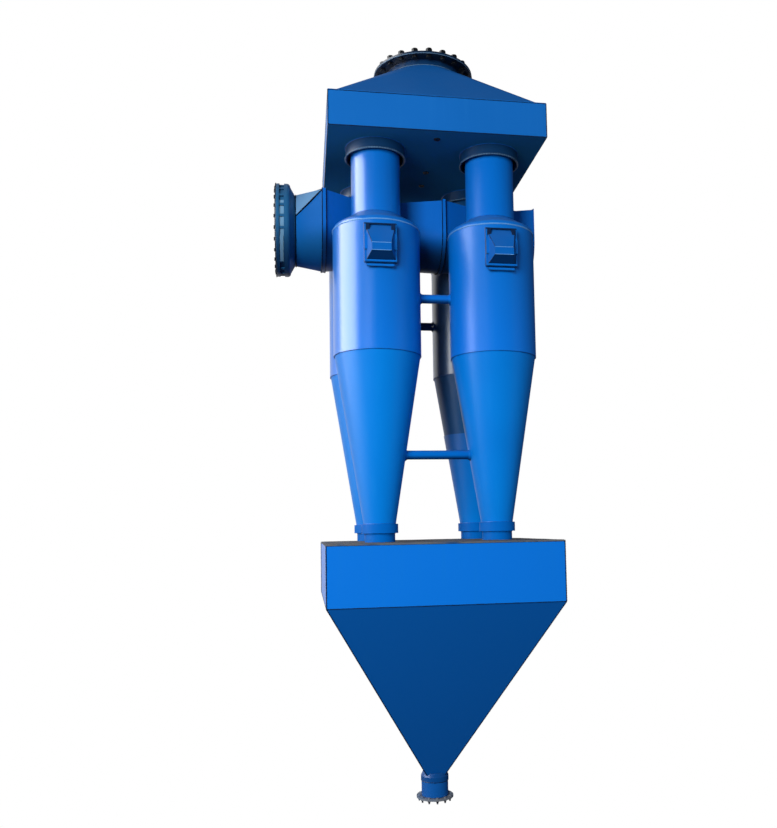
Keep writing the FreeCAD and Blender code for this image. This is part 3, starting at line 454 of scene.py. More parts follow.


# Painted shade: each enamel's under colour goes on the faces that look down.
UNDERSIDE_SHADE_BLUE = (0.002, 0.045, 0.175)
BRIGHT = Enamel("bright_enamel", (0.0008, 0.150, 0.60), (0.0008, 0.124, 0.51), (0.006, 0.200, 0.64), UNDERSIDE_SHADE_BLUE,
                lower_tone_share=0.75, shade_between=0.85)
DULL = Enamel("dull_enamel", (0.0010, 0.148, 0.59), (0.0010, 0.122, 0.50), (0.006, 0.195, 0.63), UNDERSIDE_SHADE_BLUE,
              lower_tone_share=0.75, roughness=0.42, gloss=0.12, coat=0.0)
MILD = Enamel("mild_enamel", (0.0006, 0.152, 0.60), (0.0006, 0.128, 0.52), (0.004, 0.200, 0.64), UNDERSIDE_SHADE_BLUE,
              lower_tone_share=0.8, roughness=0.40, gloss=0.28, coat=0.08, shade_between=0.6)
CONE_BLUE = Enamel("cone_enamel", (0.0002, 0.220, 0.76), (0.0002, 0.175, 0.65), (0.002, 0.265, 0.78), UNDERSIDE_SHADE_BLUE,
                   roughness=0.42, gloss=0.14, coat=0.05, shade_between=0.8)
LEG_BLUE = Enamel("leg_enamel", (0.0006, 0.140, 0.56), (0.0006, 0.118, 0.49), (0.004, 0.18, 0.60), UNDERSIDE_SHADE_BLUE,
                  roughness=0.5, gloss=0.06, coat=0.0)
PLENUM_BLUE = Enamel("plenum_enamel", (0.006, 0.138, 0.50), (0.004, 0.122, 0.45), (0.014, 0.175, 0.54), UNDERSIDE_SHADE_BLUE,
                     roughness=0.42, gloss=0.2, coat=0.05)
UNDERSIDE = Enamel("underside_enamel", (0.003, 0.052, 0.185), (0.002, 0.040, 0.150), (0.006, 0.070, 0.22),
                   (0.0160, 0.140, 0.330), roughness=0.8, gloss=0.02, coat=0.0)
COVER_BLUE = Enamel("cover_enamel", (0.002, 0.116, 0.47), (0.002, 0.100, 0.41), (0.006, 0.150, 0.53),
                    (0.002, 0.040, 0.150), roughness=0.42, gloss=0.12, coat=0.0)
SHADED = Enamel("shaded_enamel", (0.002, 0.068, 0.27), (0.002, 0.052, 0.21), (0.008, 0.100, 0.33),
                (0.002, 0.022, 0.085), roughness=0.36, runs=0.12, gloss=0.25, coat=0.1)
OUTLET_BLUE = Enamel("outlet_enamel", (0.004, 0.105, 0.41), (0.003, 0.080, 0.32), (0.010, 0.140, 0.46),
                     (0.002, 0.030, 0.115), roughness=0.42, runs=0.3, gloss=0.2, coat=0.05)
# Painted shade: the header is a little darker than the cyclones, for the plenum's shade above it.
HEADER_BLUE = Enamel("header_enamel", (0.0025, 0.128, 0.54), (0.0020, 0.108, 0.46), (0.007, 0.165, 0.58),
                     (0.003, 0.034, 0.120), roughness=0.42, gloss=0.15, coat=0.05)
TRANSITION_BLUE = Enamel("transition_enamel", (0.006, 0.120, 0.44), (0.005, 0.100, 0.38), (0.014, 0.155, 0.49),
                         (0.005, 0.088, 0.270), roughness=0.6, gloss=0.03, coat=0.0)
# Painted reflection: pale sky sheen on the transition's upper facets.
FACET_SHEEN_BLUE = Enamel("facet_sheen_enamel", (0.130, 0.290, 0.52), (0.105, 0.255, 0.47), (0.17, 0.33, 0.54),
                     (0.05, 0.12, 0.25), roughness=0.6, gloss=0.05, coat=0.0, settled=0.1)
# Painted shade: the outlet neck is dark navy for the shade under the top flange.
NAVY = Enamel("navy_enamel", (0.004, 0.034, 0.110), (0.003, 0.026, 0.082), (0.015, 0.060, 0.15),
              (0.003, 0.018, 0.060), roughness=0.38, runs=0.2)
SLEEVE_BLUE = Enamel("sleeve_enamel", (0.004, 0.034, 0.105), (0.003, 0.027, 0.085), (0.012, 0.052, 0.14),
                     (0.002, 0.014, 0.045), roughness=0.34, gloss=0.5, coat=0.4)
RIM_NAVY = Enamel("rim_enamel", (0.003, 0.018, 0.052), (0.002, 0.013, 0.038), (0.012, 0.036, 0.080),
                  (0.001, 0.007, 0.020), roughness=0.42, gloss=0.3)
TEAL = Enamel("teal_enamel", (0.015, 0.110, 0.255), (0.012, 0.085, 0.200), (0.060, 0.150, 0.27),
              (0.005, 0.036, 0.098), roughness=0.42, runs=0.25, gloss=0.25, coat=0.1)
HOOD_BLUE = Enamel("hood_enamel", (0.006, 0.112, 0.40), (0.005, 0.094, 0.34), (0.014, 0.140, 0.44), UNDERSIDE_SHADE_BLUE,
                   roughness=0.5, settled=0.06, gloss=0.15, coat=0.0)
PALE_RING = Enamel("pale_ring_enamel", (0.155, 0.320, 0.50), (0.115, 0.260, 0.44), (0.22, 0.39, 0.56),
                   (0.10, 0.20, 0.30), roughness=0.6, gloss=0.1, coat=0.0)
BOLT = BlackSteel("blackened_steel")
# Dust and painted sheen: the cover plate's pale grey is partly dust and partly a painted reflection of the sky.
DUSTY = Dusted("dust_and_sheen_plate")
DUST_AND_SHEEN_HEAP = Dusted("settled_dust_and_sheen", cover=1.0)
FLANGE_DUST = Dusted("flange_dust", (0.080, 0.140, 0.240), (0.230, 0.280, 0.350), (0.200, 0.200, 0.210), 0.8)
BRIGHT_WELD = WeldPaint("bright_weld", (0.003, 0.110, 0.48))
# Dark welds, also used for the hand holes' painted shadow lines.
DARK_WELD_AND_SHADOW = WeldPaint("dark_weld_and_shadow", (0.003, 0.020, 0.075), amount=0.7)
# Painted highlight: pale rims where light catches an edge.
RIM_HIGHLIGHT = WeldPaint("rim_highlight", (0.10, 0.19, 0.30), amount=0.35)
# Painted highlight: pale lines on rounded, lit edges.
EDGE_HIGHLIGHT = WeldPaint("edge_highlight", (0.130, 0.350, 0.72), amount=0.1)
BLACK_SEAM = WeldPaint("black_seam", (0.002, 0.008, 0.026), (0.001, 0.003, 0.008), 0.6, gloss=0.08)


class Maker:
    """Collects faces in one mesh and turns them into a piece of the model."""

    def __init__(self) -> None:
        """Start with an empty mesh."""
        self.mesh = bmesh.new()

    def grid(self, rows: Sequence[Sequence[Vector]], around: bool = True, along: bool = False) -> None:
        """Join rows of points by faces.

        Args:
            rows: rows of equal length.
            around: True if each row closes on itself.
            along: True if the last row joins the first.
        """
        points = [[self.mesh.verts.new(point) for point in row] for row in rows]
        count = len(points[0])
        for index in range(len(points) if along else len(points) - 1):
            low = points[index]
            high = points[(index + 1) % len(points)]
            for step in range(count if around else count - 1):
                after = (step + 1) % count
                self.mesh.faces.new((low[step], low[after], high[after], high[step]))

    def turned(self, frame: Matrix, profile: Sequence[tuple[float, float]], segments: int = 48) -> None:
        """Turn a closed profile of radius and height about the Z axis of a frame."""
        rows = []
        for step in range(segments):
            turn = math.tau * step / segments
            rows.append([frame @ Vector((radius * math.cos(turn), radius * math.sin(turn), height))
                         for radius, height in profile])
        self.grid(rows, around=True, along=True)

    def strip(self, frame: Matrix, radii: tuple[float, float], heights: tuple[float, float],
              angles: tuple[float, float], segments: int = 36) -> None:
        """A curved strip with a flat section, part of a turn about the Z axis of a frame.

        Args:
            frame: place of the strip's centre.
            radii: inner and outer radius.
            heights: its two edges along the axis.
            angles: first and last angle in degrees.
            segments: steps along it.
        """
        rows = []
        for step in range(segments + 1):
            turn = math.radians(angles[0] + (angles[1] - angles[0]) * step / segments)
            out = Vector((math.cos(turn), math.sin(turn), 0))
            rows.append([frame @ (out * radius + Vector((0, 0, height))) for radius, height in (
                (radii[0], heights[0]), (radii[1], heights[0]), (radii[1], heights[1]), (radii[0], heights[1]))])
        self.grid(rows)
        for row in (rows[0], rows[-1]):
            self.close(row)

    def bead(self, path: Sequence[Vector], radius: float, closed: bool = False, sides: int = 6) -> None:
        """A rippled weld bead along a path.

        Args:
            path: corners of the path.
            radius: radius of the bead.
            closed: True if the path is a loop.
            sides: sides of the bead's section.
        """
        points = spaced(path, radius * 1.3, closed)
        count = len(points)
        rows = []
        side = None
        for index, point in enumerate(points):
            behind = points[index - 1] if index or closed else point
            ahead = points[(index + 1) % count] if index < count - 1 or closed else point
            along = (ahead - behind).normalized()
            if side is None:
                side = along.orthogonal().normalized()
            side = (side - along * side.dot(along)).normalized()
            other = along.cross(side)
            ripple = 0.16 * math.sin(index * math.pi * 0.66)
            swell = radius * (1.0 + ripple + 0.12 * noise.noise(point * 40.0))
            rows.append([point + (side * math.cos(turn) + other * math.sin(turn)) * swell
                         for turn in (math.tau * step / sides for step in range(sides))])
        if closed:
            self.grid(rows[:-1] if (points[0] - points[-1]).length < radius * 0.1 else rows, along=True)
            return
        self.grid(rows)
        for row, point in ((rows[0], points[0]), (rows[-1], points[-1])):
            self._cap(row, point)

    def close(self, row: Sequence[Vector]) -> None:
        """Close the end of a tube by a fan round the middle of its corners."""
        self._cap(row, sum(row, Vector((0, 0, 0))) / len(row))

    def _cap(self, row: Sequence[Vector], centre: Vector) -> None:
        """Close the end of a tube by a fan of faces round its centre."""
        rim = [self.mesh.verts.new(point) for point in row]
        hub = self.mesh.verts.new(centre)
        for step in range(len(rim)):
            self.mesh.faces.new((rim[step], rim[(step + 1) % len(rim)], hub))

    def nut(self, frame: Matrix, across: float, height: float, bore: float, steps: int = 4) -> None:
        """A hexagon nut with chamfered corners, standing on the frame's XY plane.

        Args:
            frame: place of the nut, its axis along Z.
            across: width across the flats.
            height: height of the nut.
            bore: radius of its hole.
            steps: points on each of the six sides.
        """
        flat = across / 2
        profile = []
        for step in range(6 * steps):
            turn = math.tau * step / (6 * steps)
            off = (turn % (math.pi / 3)) - math.pi / 6
            corner = flat / math.cos(off)
            fall = (corner - flat * 0.98) * 0.6
            profile.append([(bore, 0.0), (flat * 0.98, 0.0), (corner, fall), (corner, height - fall),
                            (flat * 0.98, height), (bore, height)])
        rows = []
        for step, column in enumerate(profile):
            turn = math.tau * step / len(profile)
            rows.append([frame @ Vector((radius * math.cos(turn), radius * math.sin(turn), rise))
                         for radius, rise in column])
        self.grid(rows, around=True, along=True)

    def thread(self, frame: Matrix, radius: float, pitch: float, length: float, segments: int = 14) -> None:
        """A threaded stud end with a chamfered tip.

        Args:
            frame: place of the thread's start, its axis along Z.
            radius: radius over the crests.
            pitch: distance between two crests.
            length: length of the thread.
            segments: points round it.
        """
        depth = pitch * 0.5
        count = max(4, round(length / pitch * 4))
        rows = []
        for row in range(count + 1):
            rise = length * row / count
            tip = max(0.0, rise - (length - pitch)) * 0.8
            ring = []
            for step in range(segments):
                share = (rise / pitch - step / segments) % 1.0
                reach = radius - depth * abs(2.0 * share - 1.0) - tip
                turn = math.tau * step / segments
                ring.append(frame @ Vector((reach * math.cos(turn), reach * math.sin(turn), rise)))
            rows.append(ring)
        self.grid(rows)
        self._cap(rows[-1], frame @ Vector((0.0, 0.0, length)))
        self._cap(rows[0], frame @ Vector((0.0, 0.0, 0.0)))

    def bar(self, frame: Matrix, size: Vector, edge: float) -> None:
        """A flat bar with rounded edges, centred on a frame.

        Args:
            frame: place of the bar.
            size: its full lengths along the frame's axes.
            edge: radius of its edges.
        """
        made = bmesh.ops.create_cube(self.mesh, size=1.0)
        corners = made["verts"]
        bmesh.ops.scale(self.mesh, vec=size, verts=corners)
        edges = list({item for corner in corners for item in corner.link_edges})
        rounded = bmesh.ops.bevel(self.mesh, geom=edges, offset=edge, segments=2, affect="EDGES")
        moved = list({corner for face in rounded["faces"] for corner in face.verts})
        bmesh.ops.transform(self.mesh, matrix=frame, verts=moved)

    def piece(self, name: str, finish: Finish, smooth: float = 35.0) -> bpy.types.Object:
        """Make the mesh a piece of the model that rides on its body.

        Args:
            name: name of the piece.
            finish: its finish.
            smooth: angle in degrees up to which edges are smooth.

        Returns:
            The piece.
        """
        bmesh.ops.remove_doubles(self.mesh, verts=self.mesh.verts, dist=1e-5)
        bmesh.ops.recalc_face_normals(self.mesh, faces=self.mesh.faces)
        data = bpy.data.meshes.new(name)
        self.mesh.to_mesh(data)
        self.mesh.free()
        data.materials.append(finish.material())
        data.shade_smooth()
        data.set_sharp_from_angle(angle=math.radians(smooth))
        made = bpy.data.objects.new(name, data)
        bpy.context.scene.collection.objects.link(made)
        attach(made, BODY)
        LOG.info("%s: %d faces", name, len(data.polygons))
        return made


def spaced(path: Sequence[Vector], step: float, closed: bool) -> list[Vector]:
    """Points at about equal steps along a path, its corners among them.

    Args:
        path: corners of the path.
        step: wanted distance between points.
        closed: True if the last corner joins the first.

    Returns:
        The points.
    """
    corners = list(path) + ([path[0]] if closed else [])
    points = []
    for first, second in zip(corners, corners[1:]):
        count = max(1, round((second - first).length / step))
        points.extend(first.lerp(second, index / count) for index in range(count))
    if not closed:
        points.append(corners[-1].copy())
    return points


def ring(centre: Vector, radius: float, step: float = 0.012) -> list[Vector]:
    """Points of a level circle."""
    count = max(12, round(math.tau * radius / step))
    return [centre + Vector((math.cos(math.tau * index / count), math.sin(math.tau * index / count), 0)) * radius
            for index in range(count)]


def section_loop(node: str, x: float) -> list[Vector]:
    """Outline of a solid in a plane across X, read from its mesh, in order round its middle.

    Args:
        node: the solid.
        x: place of the plane.

    Returns:
        The outermost corner in each direction.
    """
    low, high = box_of(node)
    middle = Vector((x, (low.y + high.y) / 2, (low.z + high.z) / 2))
    found: dict[int, Vector] = {}
    for vertex in bpy.data.objects[node].data.vertices:
        out = vertex.co - middle
        if abs(out.x) > 0.0005:
            continue
        key = round(math.degrees(math.atan2(out.z, out.y)) / 2)
        if key not in found or out.length > (found[key] - middle).length:
            found[key] = vertex.co.copy()
    return [found[key] for key in sorted(found)]


def square(half: float, height: float) -> list[Vector]:
    """Corners of a level square round the vertical axis."""
    return [Vector((sign_x * half, sign_y * half, height))
            for sign_x, sign_y in ((-1, -1), (1, -1), (1, 1), (-1, 1))]


def around(count: int, radius: float, start: float) -> Iterable[tuple[float, float]]:
    """Places of evenly spaced bolts on a circle, from a starting angle in degrees."""
    for index in range(count):
        turn = math.radians(start) + math.tau * index / count
        yield radius * math.cos(turn), radius * math.sin(turn)


def box_of(node: str) -> tuple[Vector, Vector]:
    """Lowest and highest corner of a solid as vectors."""
    low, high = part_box(node)
    return Vector(low), Vector(high)


@dataclass
class Frame:
    """The solids of the frame and the finish that each of them takes."""

    nodes: dict[str, bpy.types.Object]
    finishes: dict[str, Finish] = field(default_factory=lambda: {
        "dust_outlet_flange": FLANGE_DUST,
        "dust_outlet_bolts": FLANGE_DUST,
        "dust_outlet_pipe": OUTLET_BLUE,
        "dust_outlet_collar": SHADED,
        "header": HEADER_BLUE,
        "seam_band": HEADER_BLUE,
        "inlet_transition": TRANSITION_BLUE,
        "outlet_pipe_front_right": DULL,
        "barrel_front_right": MILD,
        "roof_front_right": MILD,
        "cone_band": PLENUM_BLUE,
        "cone": CONE_BLUE,
        "leg_collar": LEG_BLUE,
        "dust_leg": LEG_BLUE,
        "lower_tie": LEG_BLUE,
        "hopper_walls": MILD,
        "hopper_pyramid": MILD,
        "hopper_cover": DUSTY,
        "hand_hole_cover": COVER_BLUE,
        "sleeve_collar": SLEEVE_BLUE,
        "plenum_floor": UNDERSIDE,
        "plenum_walls": PLENUM_BLUE,
        "plenum_ledge": PLENUM_BLUE,
        "plenum_hood": HOOD_BLUE,
        "outlet_neck": NAVY,
        "outlet_flange": RIM_NAVY,
        "outlet_bolts": BOLT,
        "inlet_flange": TEAL,
        "inlet_counter_flange": TEAL,
        "inlet_spacer_ring": PALE_RING,
        "inlet_bolts": BOLT,
    })

    def dress(self) -> None:
        """Give every solid its finish."""
        for name, node in self.nodes.items():
            finish = next((item for start, item in self.finishes.items() if name.startswith(start)), BRIGHT)
            for slot in node.material_slots:
                slot.material = finish.material()
            LOG.info("%s: %s", name, finish.name)


@dataclass
class Cyclone:
    """Welds and hand hole fittings of one cyclone."""

    corner: Corner
    weld: float = 0.0035
    plate: float = 0.006
    rail_width: float = 0.012
    rail_depth: float = 0.012
    clip_place: float = 0.083
    clip_height: float = 0.044
    block_place: float = 0.092
    block_width: float = 0.030
    block_height: float = 0.104
    lip_width: float = 0.180
    lip_height: float = 0.016
    base_half: float = 0.098
    base_low: float = 0.006
    base_high: float = 0.248
    face_half: float = 0.063
    face_low: float = 0.054
    face_high: float = 0.104

    def __post_init__(self) -> None:
        """Read the cyclone's place from the frame."""
        self.name, self.sign_x, self.sign_y = self.corner.value
        low, high = box_of(f"dust_leg_{self.name}")
        self.axis = Vector(((low.x + high.x) / 2, (low.y + high.y) / 2, 0))

    def level(self, height: float) -> Vector:
        """Point of the cyclone's axis at a height."""
        return self.axis + Vector((0, 0, height))

    def build(self) -> None:
        """Make the welds and the hand hole's fittings."""
        self.welds()
        self.hand_hole()

    def welds(self) -> None:
        """Beads round the leg, collar, cone, barrel, roof, pipe and sleeve, and painted highlights along the
        roof's rim and the sleeve's lower rim.
        """
        leg_low, leg_high = box_of(f"dust_leg_{self.name}")
        collar_low, collar_high = box_of(f"leg_collar_{self.name}")
        barrel_low, barrel_high = box_of(f"barrel_{self.name}")
        pipe_low, pipe_high = box_of(f"outlet_pipe_{self.name}")
        sleeve_low, sleeve_high = box_of(f"sleeve_collar_{self.name}")
        roof_low, roof_high = box_of(f"roof_{self.name}")
        cover_top = box_of("hopper_cover")[1].z
        leg_radius = (leg_high.x - leg_low.x) / 2
        barrel_radius = (barrel_high.x - barrel_low.x) / 2
        pipe_radius = (pipe_high.x - pipe_low.x) / 2
        sleeve_radius = (sleeve_high.x - sleeve_low.x) / 2 - self.weld
        made = Maker()
        for radius, height in (
                (leg_radius, cover_top),
                (leg_radius, collar_low.z),
                (leg_radius * 1.06, collar_high.z),
                (barrel_radius - self.weld, barrel_low.z),
                (pipe_radius, roof_high.z),
                (sleeve_radius, sleeve_high.z)):
            made.bead(ring(self.level(height), radius), self.weld, closed=True)
        reach = min(abs(roof_low.y), abs(roof_high.y)) + self.weld
        seam = [point for point in ring(self.level(barrel_high.z), barrel_radius) if abs(point.y) > reach]
        start = next((index for index in range(len(seam))
                      if (seam[index] - seam[index - 1]).length > barrel_radius / 4), 0)
        made.piece(f"cyclone_welds_{self.name}", BRIGHT_WELD)
        # Painted highlight: a pale bead along the roof's rounded rim.
        rim = Maker()
        rim.bead(seam[start:] + seam[:start], self.weld * 1.3)
        rim.piece(f"roof_rim_highlight_{self.name}", EDGE_HIGHLIGHT)
        # Painted highlight: a pale bead along the sleeve's lower rim.
        lip = Maker()
        lip.bead(ring(self.level(sleeve_low.z + self.weld), sleeve_radius), self.weld * 1.4, closed=True)
        lip.piece(f"sleeve_lip_highlight_{self.name}", RIM_HIGHLIGHT)

    def hand_hole(self) -> None:
        """Side rails, latch blocks, clips and lip of the hand hole cover, with painted shadow lines round it and
        painted highlights on its front face.
        """
        low, high = box_of(f"hand_hole_cover_{self.name}")
        face = low.y if self.sign_y > 0 else high.y
        out = Vector((0, self.sign_y, 0))
        across = Vector((1, 0, 0))
        centre = Vector(((low.x + high.x) / 2, face, (low.z + high.z) / 2))
        half = (high.x - low.x) / 2
        tall = high.z - low.z
        plate = self.plate
        depth = high.y - low.y

        def spot(right: float, up: float, forward: float) -> Matrix:
            """Frame at a place on the cover, its Z axis pointing out of the cover."""
            where = centre + across * right + Vector((0, 0, up)) + out * forward
            turn = Matrix((across, Vector((0, 0, 1)), out)).transposed()
            return Matrix.Translation(where) @ turn.to_4x4()

        made = Maker()
        for side in (-1, 1):
            edge = side * (half - self.rail_width / 2)
            made.bar(spot(edge, 0, plate + self.rail_depth / 2),
                     Vector((self.rail_width, tall * 0.94, self.rail_depth)), 0.002)
            made.bar(spot(side * self.block_place, 0, plate + 0.014),
                     Vector((self.block_width, self.block_height, 0.028)), 0.003)
        made.bar(spot(0, -tall / 2 + 0.008, plate + 0.010), Vector((half * 1.98, 0.014, 0.020)), 0.003)
        made.bar(spot(0, -tall / 2 - self.lip_height, plate / 2 + 0.002),
                 Vector((self.lip_width, self.lip_height, 0.012)), 0.003)
        made.piece(f"hand_hole_rails_{self.name}", BRIGHT)

        # Dark clips, and painted shadow lines along the cover's top, round it, under the lip and along the
        # wedge's sides.
        dark = Maker()
        for side in (-1, 1):
            dark.bar(spot(side * self.clip_place, tall * 0.38, plate + 0.012),
                     Vector((0.026, self.clip_height, 0.024)), 0.002)
        dark.bar(spot(0, tall / 2 - 0.006, plate + 0.007), Vector((half * 2.0, 0.011, 0.014)), 0.003)
        edges = [(-half, -tall / 2), (half, -tall / 2), (half, tall / 2), (-half, tall / 2)]
        dark.bead([spot(right, up, plate / 2).translation for right, up in edges], 0.003, closed=True)
        under = -tall / 2 - self.lip_height * 1.5
        dark.bead([spot(side * self.lip_width / 2, under, 0.004).translation for side in (-1, 1)], 0.003)
        floor = -tall / 2
        for side in (-1, 1):
            for base, face in ((self.base_low, self.face_low), (self.base_high, self.face_high)):
                dark.bead([spot(side * self.base_half, floor + base, plate).translation,
                           spot(side * self.face_half, floor + face, depth).translation], 0.002)
        dark.piece(f"hand_hole_shadow_lines_{self.name}", DARK_WELD_AND_SHADOW)
        # Painted highlights: pale lines along the top and bottom edges of the cover's front face.
        light = Maker()
        for up in (self.face_low, self.face_high):
            light.bead([spot(side * self.face_half, floor + up, depth).translation for side in (-1, 1)], 0.0025)
        light.piece(f"hand_hole_highlight_lines_{self.name}", EDGE_HIGHLIGHT)


@dataclass
class Hopper:
    """Welds of the hopper and the dust that lies on its cover, whose pale grey is partly dust and partly a
    painted sky reflection.
    """

    weld: float = 0.004
    dust_height: float = 0.0025
    cells: int = 96

    def build(self) -> None:
        """Make the welds and the dust."""
        box_low, box_high = box_of("hopper_walls")
        slope_low, _ = box_of("hopper_pyramid")
        half = box_high.x
        foot = self.foot_half(slope_low.z, box_low.z, half)
        made = Maker()
        made.bead(square(half, box_low.z), self.weld * 0.7, closed=True)
        made.bead(square(half, box_high.z), self.weld * 0.7, closed=True)
        for sign_x, sign_y in ((-1, -1), (1, -1), (1, 1), (-1, 1)):
            top = Vector((sign_x * half, sign_y * half, box_high.z))
            fold = Vector((sign_x * half, sign_y * half, box_low.z))
            low = Vector((sign_x * foot, sign_y * foot, slope_low.z))
            made.bead([top, fold, low], self.weld)
        made.piece("hopper_welds", DARK_WELD_AND_SHADOW)
        self.dust()

    def foot_half(self, low: float, fold: float, half: float) -> float:
        """Half width of the slopes at their lowest point, where the corners meet the collar."""
        collar_low, collar_high = box_of("dust_outlet_collar")
        reach = (collar_high.x - collar_low.x) / 2
        return reach / math.sqrt(2) * (1 - 0.06 * (fold - low) / (fold + low) / half)

    def dust(self) -> None:
        """A thin uneven layer of dust on the cover plate, heaped round the legs; its pale grey also paints the
        sky's reflection on the plate.
        """
        low, high = box_of("hopper_cover")
        legs = []
        for corner in Corner:
            leg_low, leg_high = box_of(f"dust_leg_{corner.value[0]}")
            legs.append((Vector(((leg_low.x + leg_high.x) / 2, (leg_low.y + leg_high.y) / 2)),
                         (leg_high.x - leg_low.x) / 2 + 0.006))
        inset = 0.008
        step = (high.x - low.x - 2 * inset) / self.cells
        mesh = bmesh.new()
        points = {}
        for row in range(self.cells + 1):
            for column in range(self.cells + 1):
                place = Vector((low.x + inset + column * step, low.y + inset + row * step))
                nearest = min((place - leg).length - radius for leg, radius in legs)
                if nearest < 0:
                    continue
                depth = 0.5 + 0.5 * noise.fractal(Vector((place.x * 3, place.y * 3, 0)), 1.0, 2.0, 4)
                heap = math.exp(-nearest / 0.04)
                rise = self.dust_height * (0.25 + max(0.0, depth) + 1.6 * heap)
                points[row, column] = mesh.verts.new((place.x, place.y, high.z + rise))
        for row in range(self.cells):
            for column in range(self.cells):
                keys = ((row, column), (row, column + 1), (row + 1, column + 1), (row + 1, column))
                if all(key in points for key in keys):
                    mesh.faces.new([points[key] for key in keys])
        lone = [point for point in mesh.verts if not point.link_faces]
        bmesh.ops.delete(mesh, geom=lone, context="VERTS")
        top = list(mesh.faces)
        sunk = bmesh.ops.extrude_face_region(mesh, geom=top)
        for item in sunk["geom"]:
            if isinstance(item, bmesh.types.BMVert):
                item.co.z = high.z + 0.0002
        made = Maker()
        made.mesh.free()
        made.mesh = mesh
        made.piece("cover_dust_and_sheen", DUST_AND_SHEEN_HEAP)


@dataclass
class DustOutlet:
    """Nuts, threads and welds of the flange below the hopper."""

    bolts: int = 12
    nut_across: float = 0.018
    nut_height: float = 0.010
    weld: float = 0.003

    def build(self) -> None:
        """Make the fastener ends and the welds."""
        flange_low, flange_high = box_of("dust_outlet_flange")
        bolt_low, bolt_high = box_of("dust_outlet_bolts")
        pipe_low, pipe_high = box_of("dust_outlet_pipe")
        collar_low, collar_high = box_of("dust_outlet_collar")
        radius = 0.113
        down = Matrix.Rotation(math.pi, 4, "X")
        nuts = Maker()
        for x, y in around(self.bolts, radius, 0.0):
            seat = Matrix.Translation((x, y, flange_low.z)) @ down
            nuts.nut(seat, self.nut_across, self.nut_height, 0.0058)
            start = Matrix.Translation((x, y, flange_low.z - self.nut_height * 0.6)) @ down
            nuts.thread(start, 0.0066, 0.00175, flange_low.z - bolt_low.z - self.nut_height * 0.6 + 0.0003)
        nuts.piece("dust_outlet_nuts", BOLT)
        made = Maker()
        pipe_radius = (pipe_high.x - pipe_low.x) / 2
        made.bead(ring(Vector((0, 0, flange_high.z)), pipe_radius), self.weld, closed=True)
        made.bead(ring(Vector((0, 0, collar_low.z)), pipe_radius + self.weld / 2), self.weld, closed=True)
        made.piece("dust_outlet_welds", DARK_WELD_AND_SHADOW)


@dataclass
class Plenum:
    """Welds of the plenum, its ledge and its hood, a painted highlight round the neck, and the rims of the small
    holes in its floor.
    """

    weld: float = 0.0035
    small_holes: tuple[float, float, float] = (-0.619, -0.069, 0.178)
    hole: float = 0.0118
    rim: float = 0.021
    rim_height: float = 0.004

    def build(self) -> None:
        """Make the beads along the sheets' edges and round the neck."""
        floor_low, floor_high = box_of("plenum_floor")
        wall_low, wall_high = box_of("plenum_walls")
        hood_low, hood_high = box_of("plenum_hood")
        neck_low, neck_high = box_of("outlet_neck")
        half = floor_high.x
        hood_half = hood_high.x
        neck = (neck_high.x - neck_low.x) / 2

        made = Maker()
        made.bead(square(half, wall_low.z - 0.003), self.weld, closed=True)
        made.bead(square(half, wall_high.z), self.weld * 0.8, closed=True)
        made.bead(square(hood_half, hood_low.z), self.weld, closed=True)
        for low, high in zip(square(half, wall_low.z), square(half, wall_high.z)):
            made.bead([low, high], self.weld)
        made.piece("plenum_welds", DARK_WELD_AND_SHADOW)
        # Painted highlight: a pale bead round the neck where the hood ends.
        rim = Maker()
        rim.bead(ring(Vector((0, 0, hood_high.z)), neck + self.weld), self.weld * 1.2, closed=True)
        rim.piece("hood_rim", RIM_HIGHLIGHT)

        rims = Maker()
        for y in self.small_holes:
            seat = Matrix.Translation((0, y, floor_low.z))
            rims.turned(seat, [(self.hole, 0.0), (self.hole, -self.rim_height),
                               (self.rim, -self.rim_height), (self.rim + 0.002, 0.0)], 28)
        rims.piece("small_hole_rims", BLACK_SEAM)


@dataclass
class GasOutlet:
    """Nuts, washers and threads on the top flange."""

    bolts: int = 20
    nut_across: float = 0.041
    nut_height: float = 0.034
    washer: float = 0.0255
    washer_height: float = 0.004

    def build(self) -> None:
        """Make the fasteners, the weld under the flange and the painted highlight along the flange's edge."""
        flange_low, flange_high = box_of("outlet_flange")
        bolt_low, bolt_high = box_of("outlet_bolts")
        radius = 0.328
        made = Maker()
        for x, y in around(self.bolts, radius, 0.0):
            seat = Matrix.Translation((x, y, flange_high.z))
            made.turned(seat, [(0.0121, 0), (self.washer, 0), (self.washer, self.washer_height),
                               (0.0121, self.washer_height)], 20)
            lift = Matrix.Translation((x, y, flange_high.z + self.washer_height))
            made.nut(lift, self.nut_across, self.nut_height, 0.0118)
            start = Matrix.Translation((x, y, flange_high.z + self.nut_height * 0.8))
            made.thread(start, 0.0135, 0.0030, bolt_high.z - flange_high.z - self.nut_height * 0.8 + 0.0004)
        made.piece("outlet_nuts", BOLT)
        neck_low, neck_high = box_of("outlet_neck")
        weld = Maker()
        weld.bead(ring(Vector((0, 0, flange_low.z)), (neck_high.x - neck_low.x) / 2 + 0.002), 0.004, closed=True)
        weld.piece("outlet_flange_weld", DARK_WELD_AND_SHADOW)
        # Painted highlight: a pale bead along the flange's lower outer edge.
        rim = Maker()
        rim.bead(ring(Vector((0, 0, flange_low.z)), (flange_high.x - flange_low.x) / 2), 0.0028, closed=True)
        rim.piece("outlet_flange_edge_highlight", RIM_HIGHLIGHT)


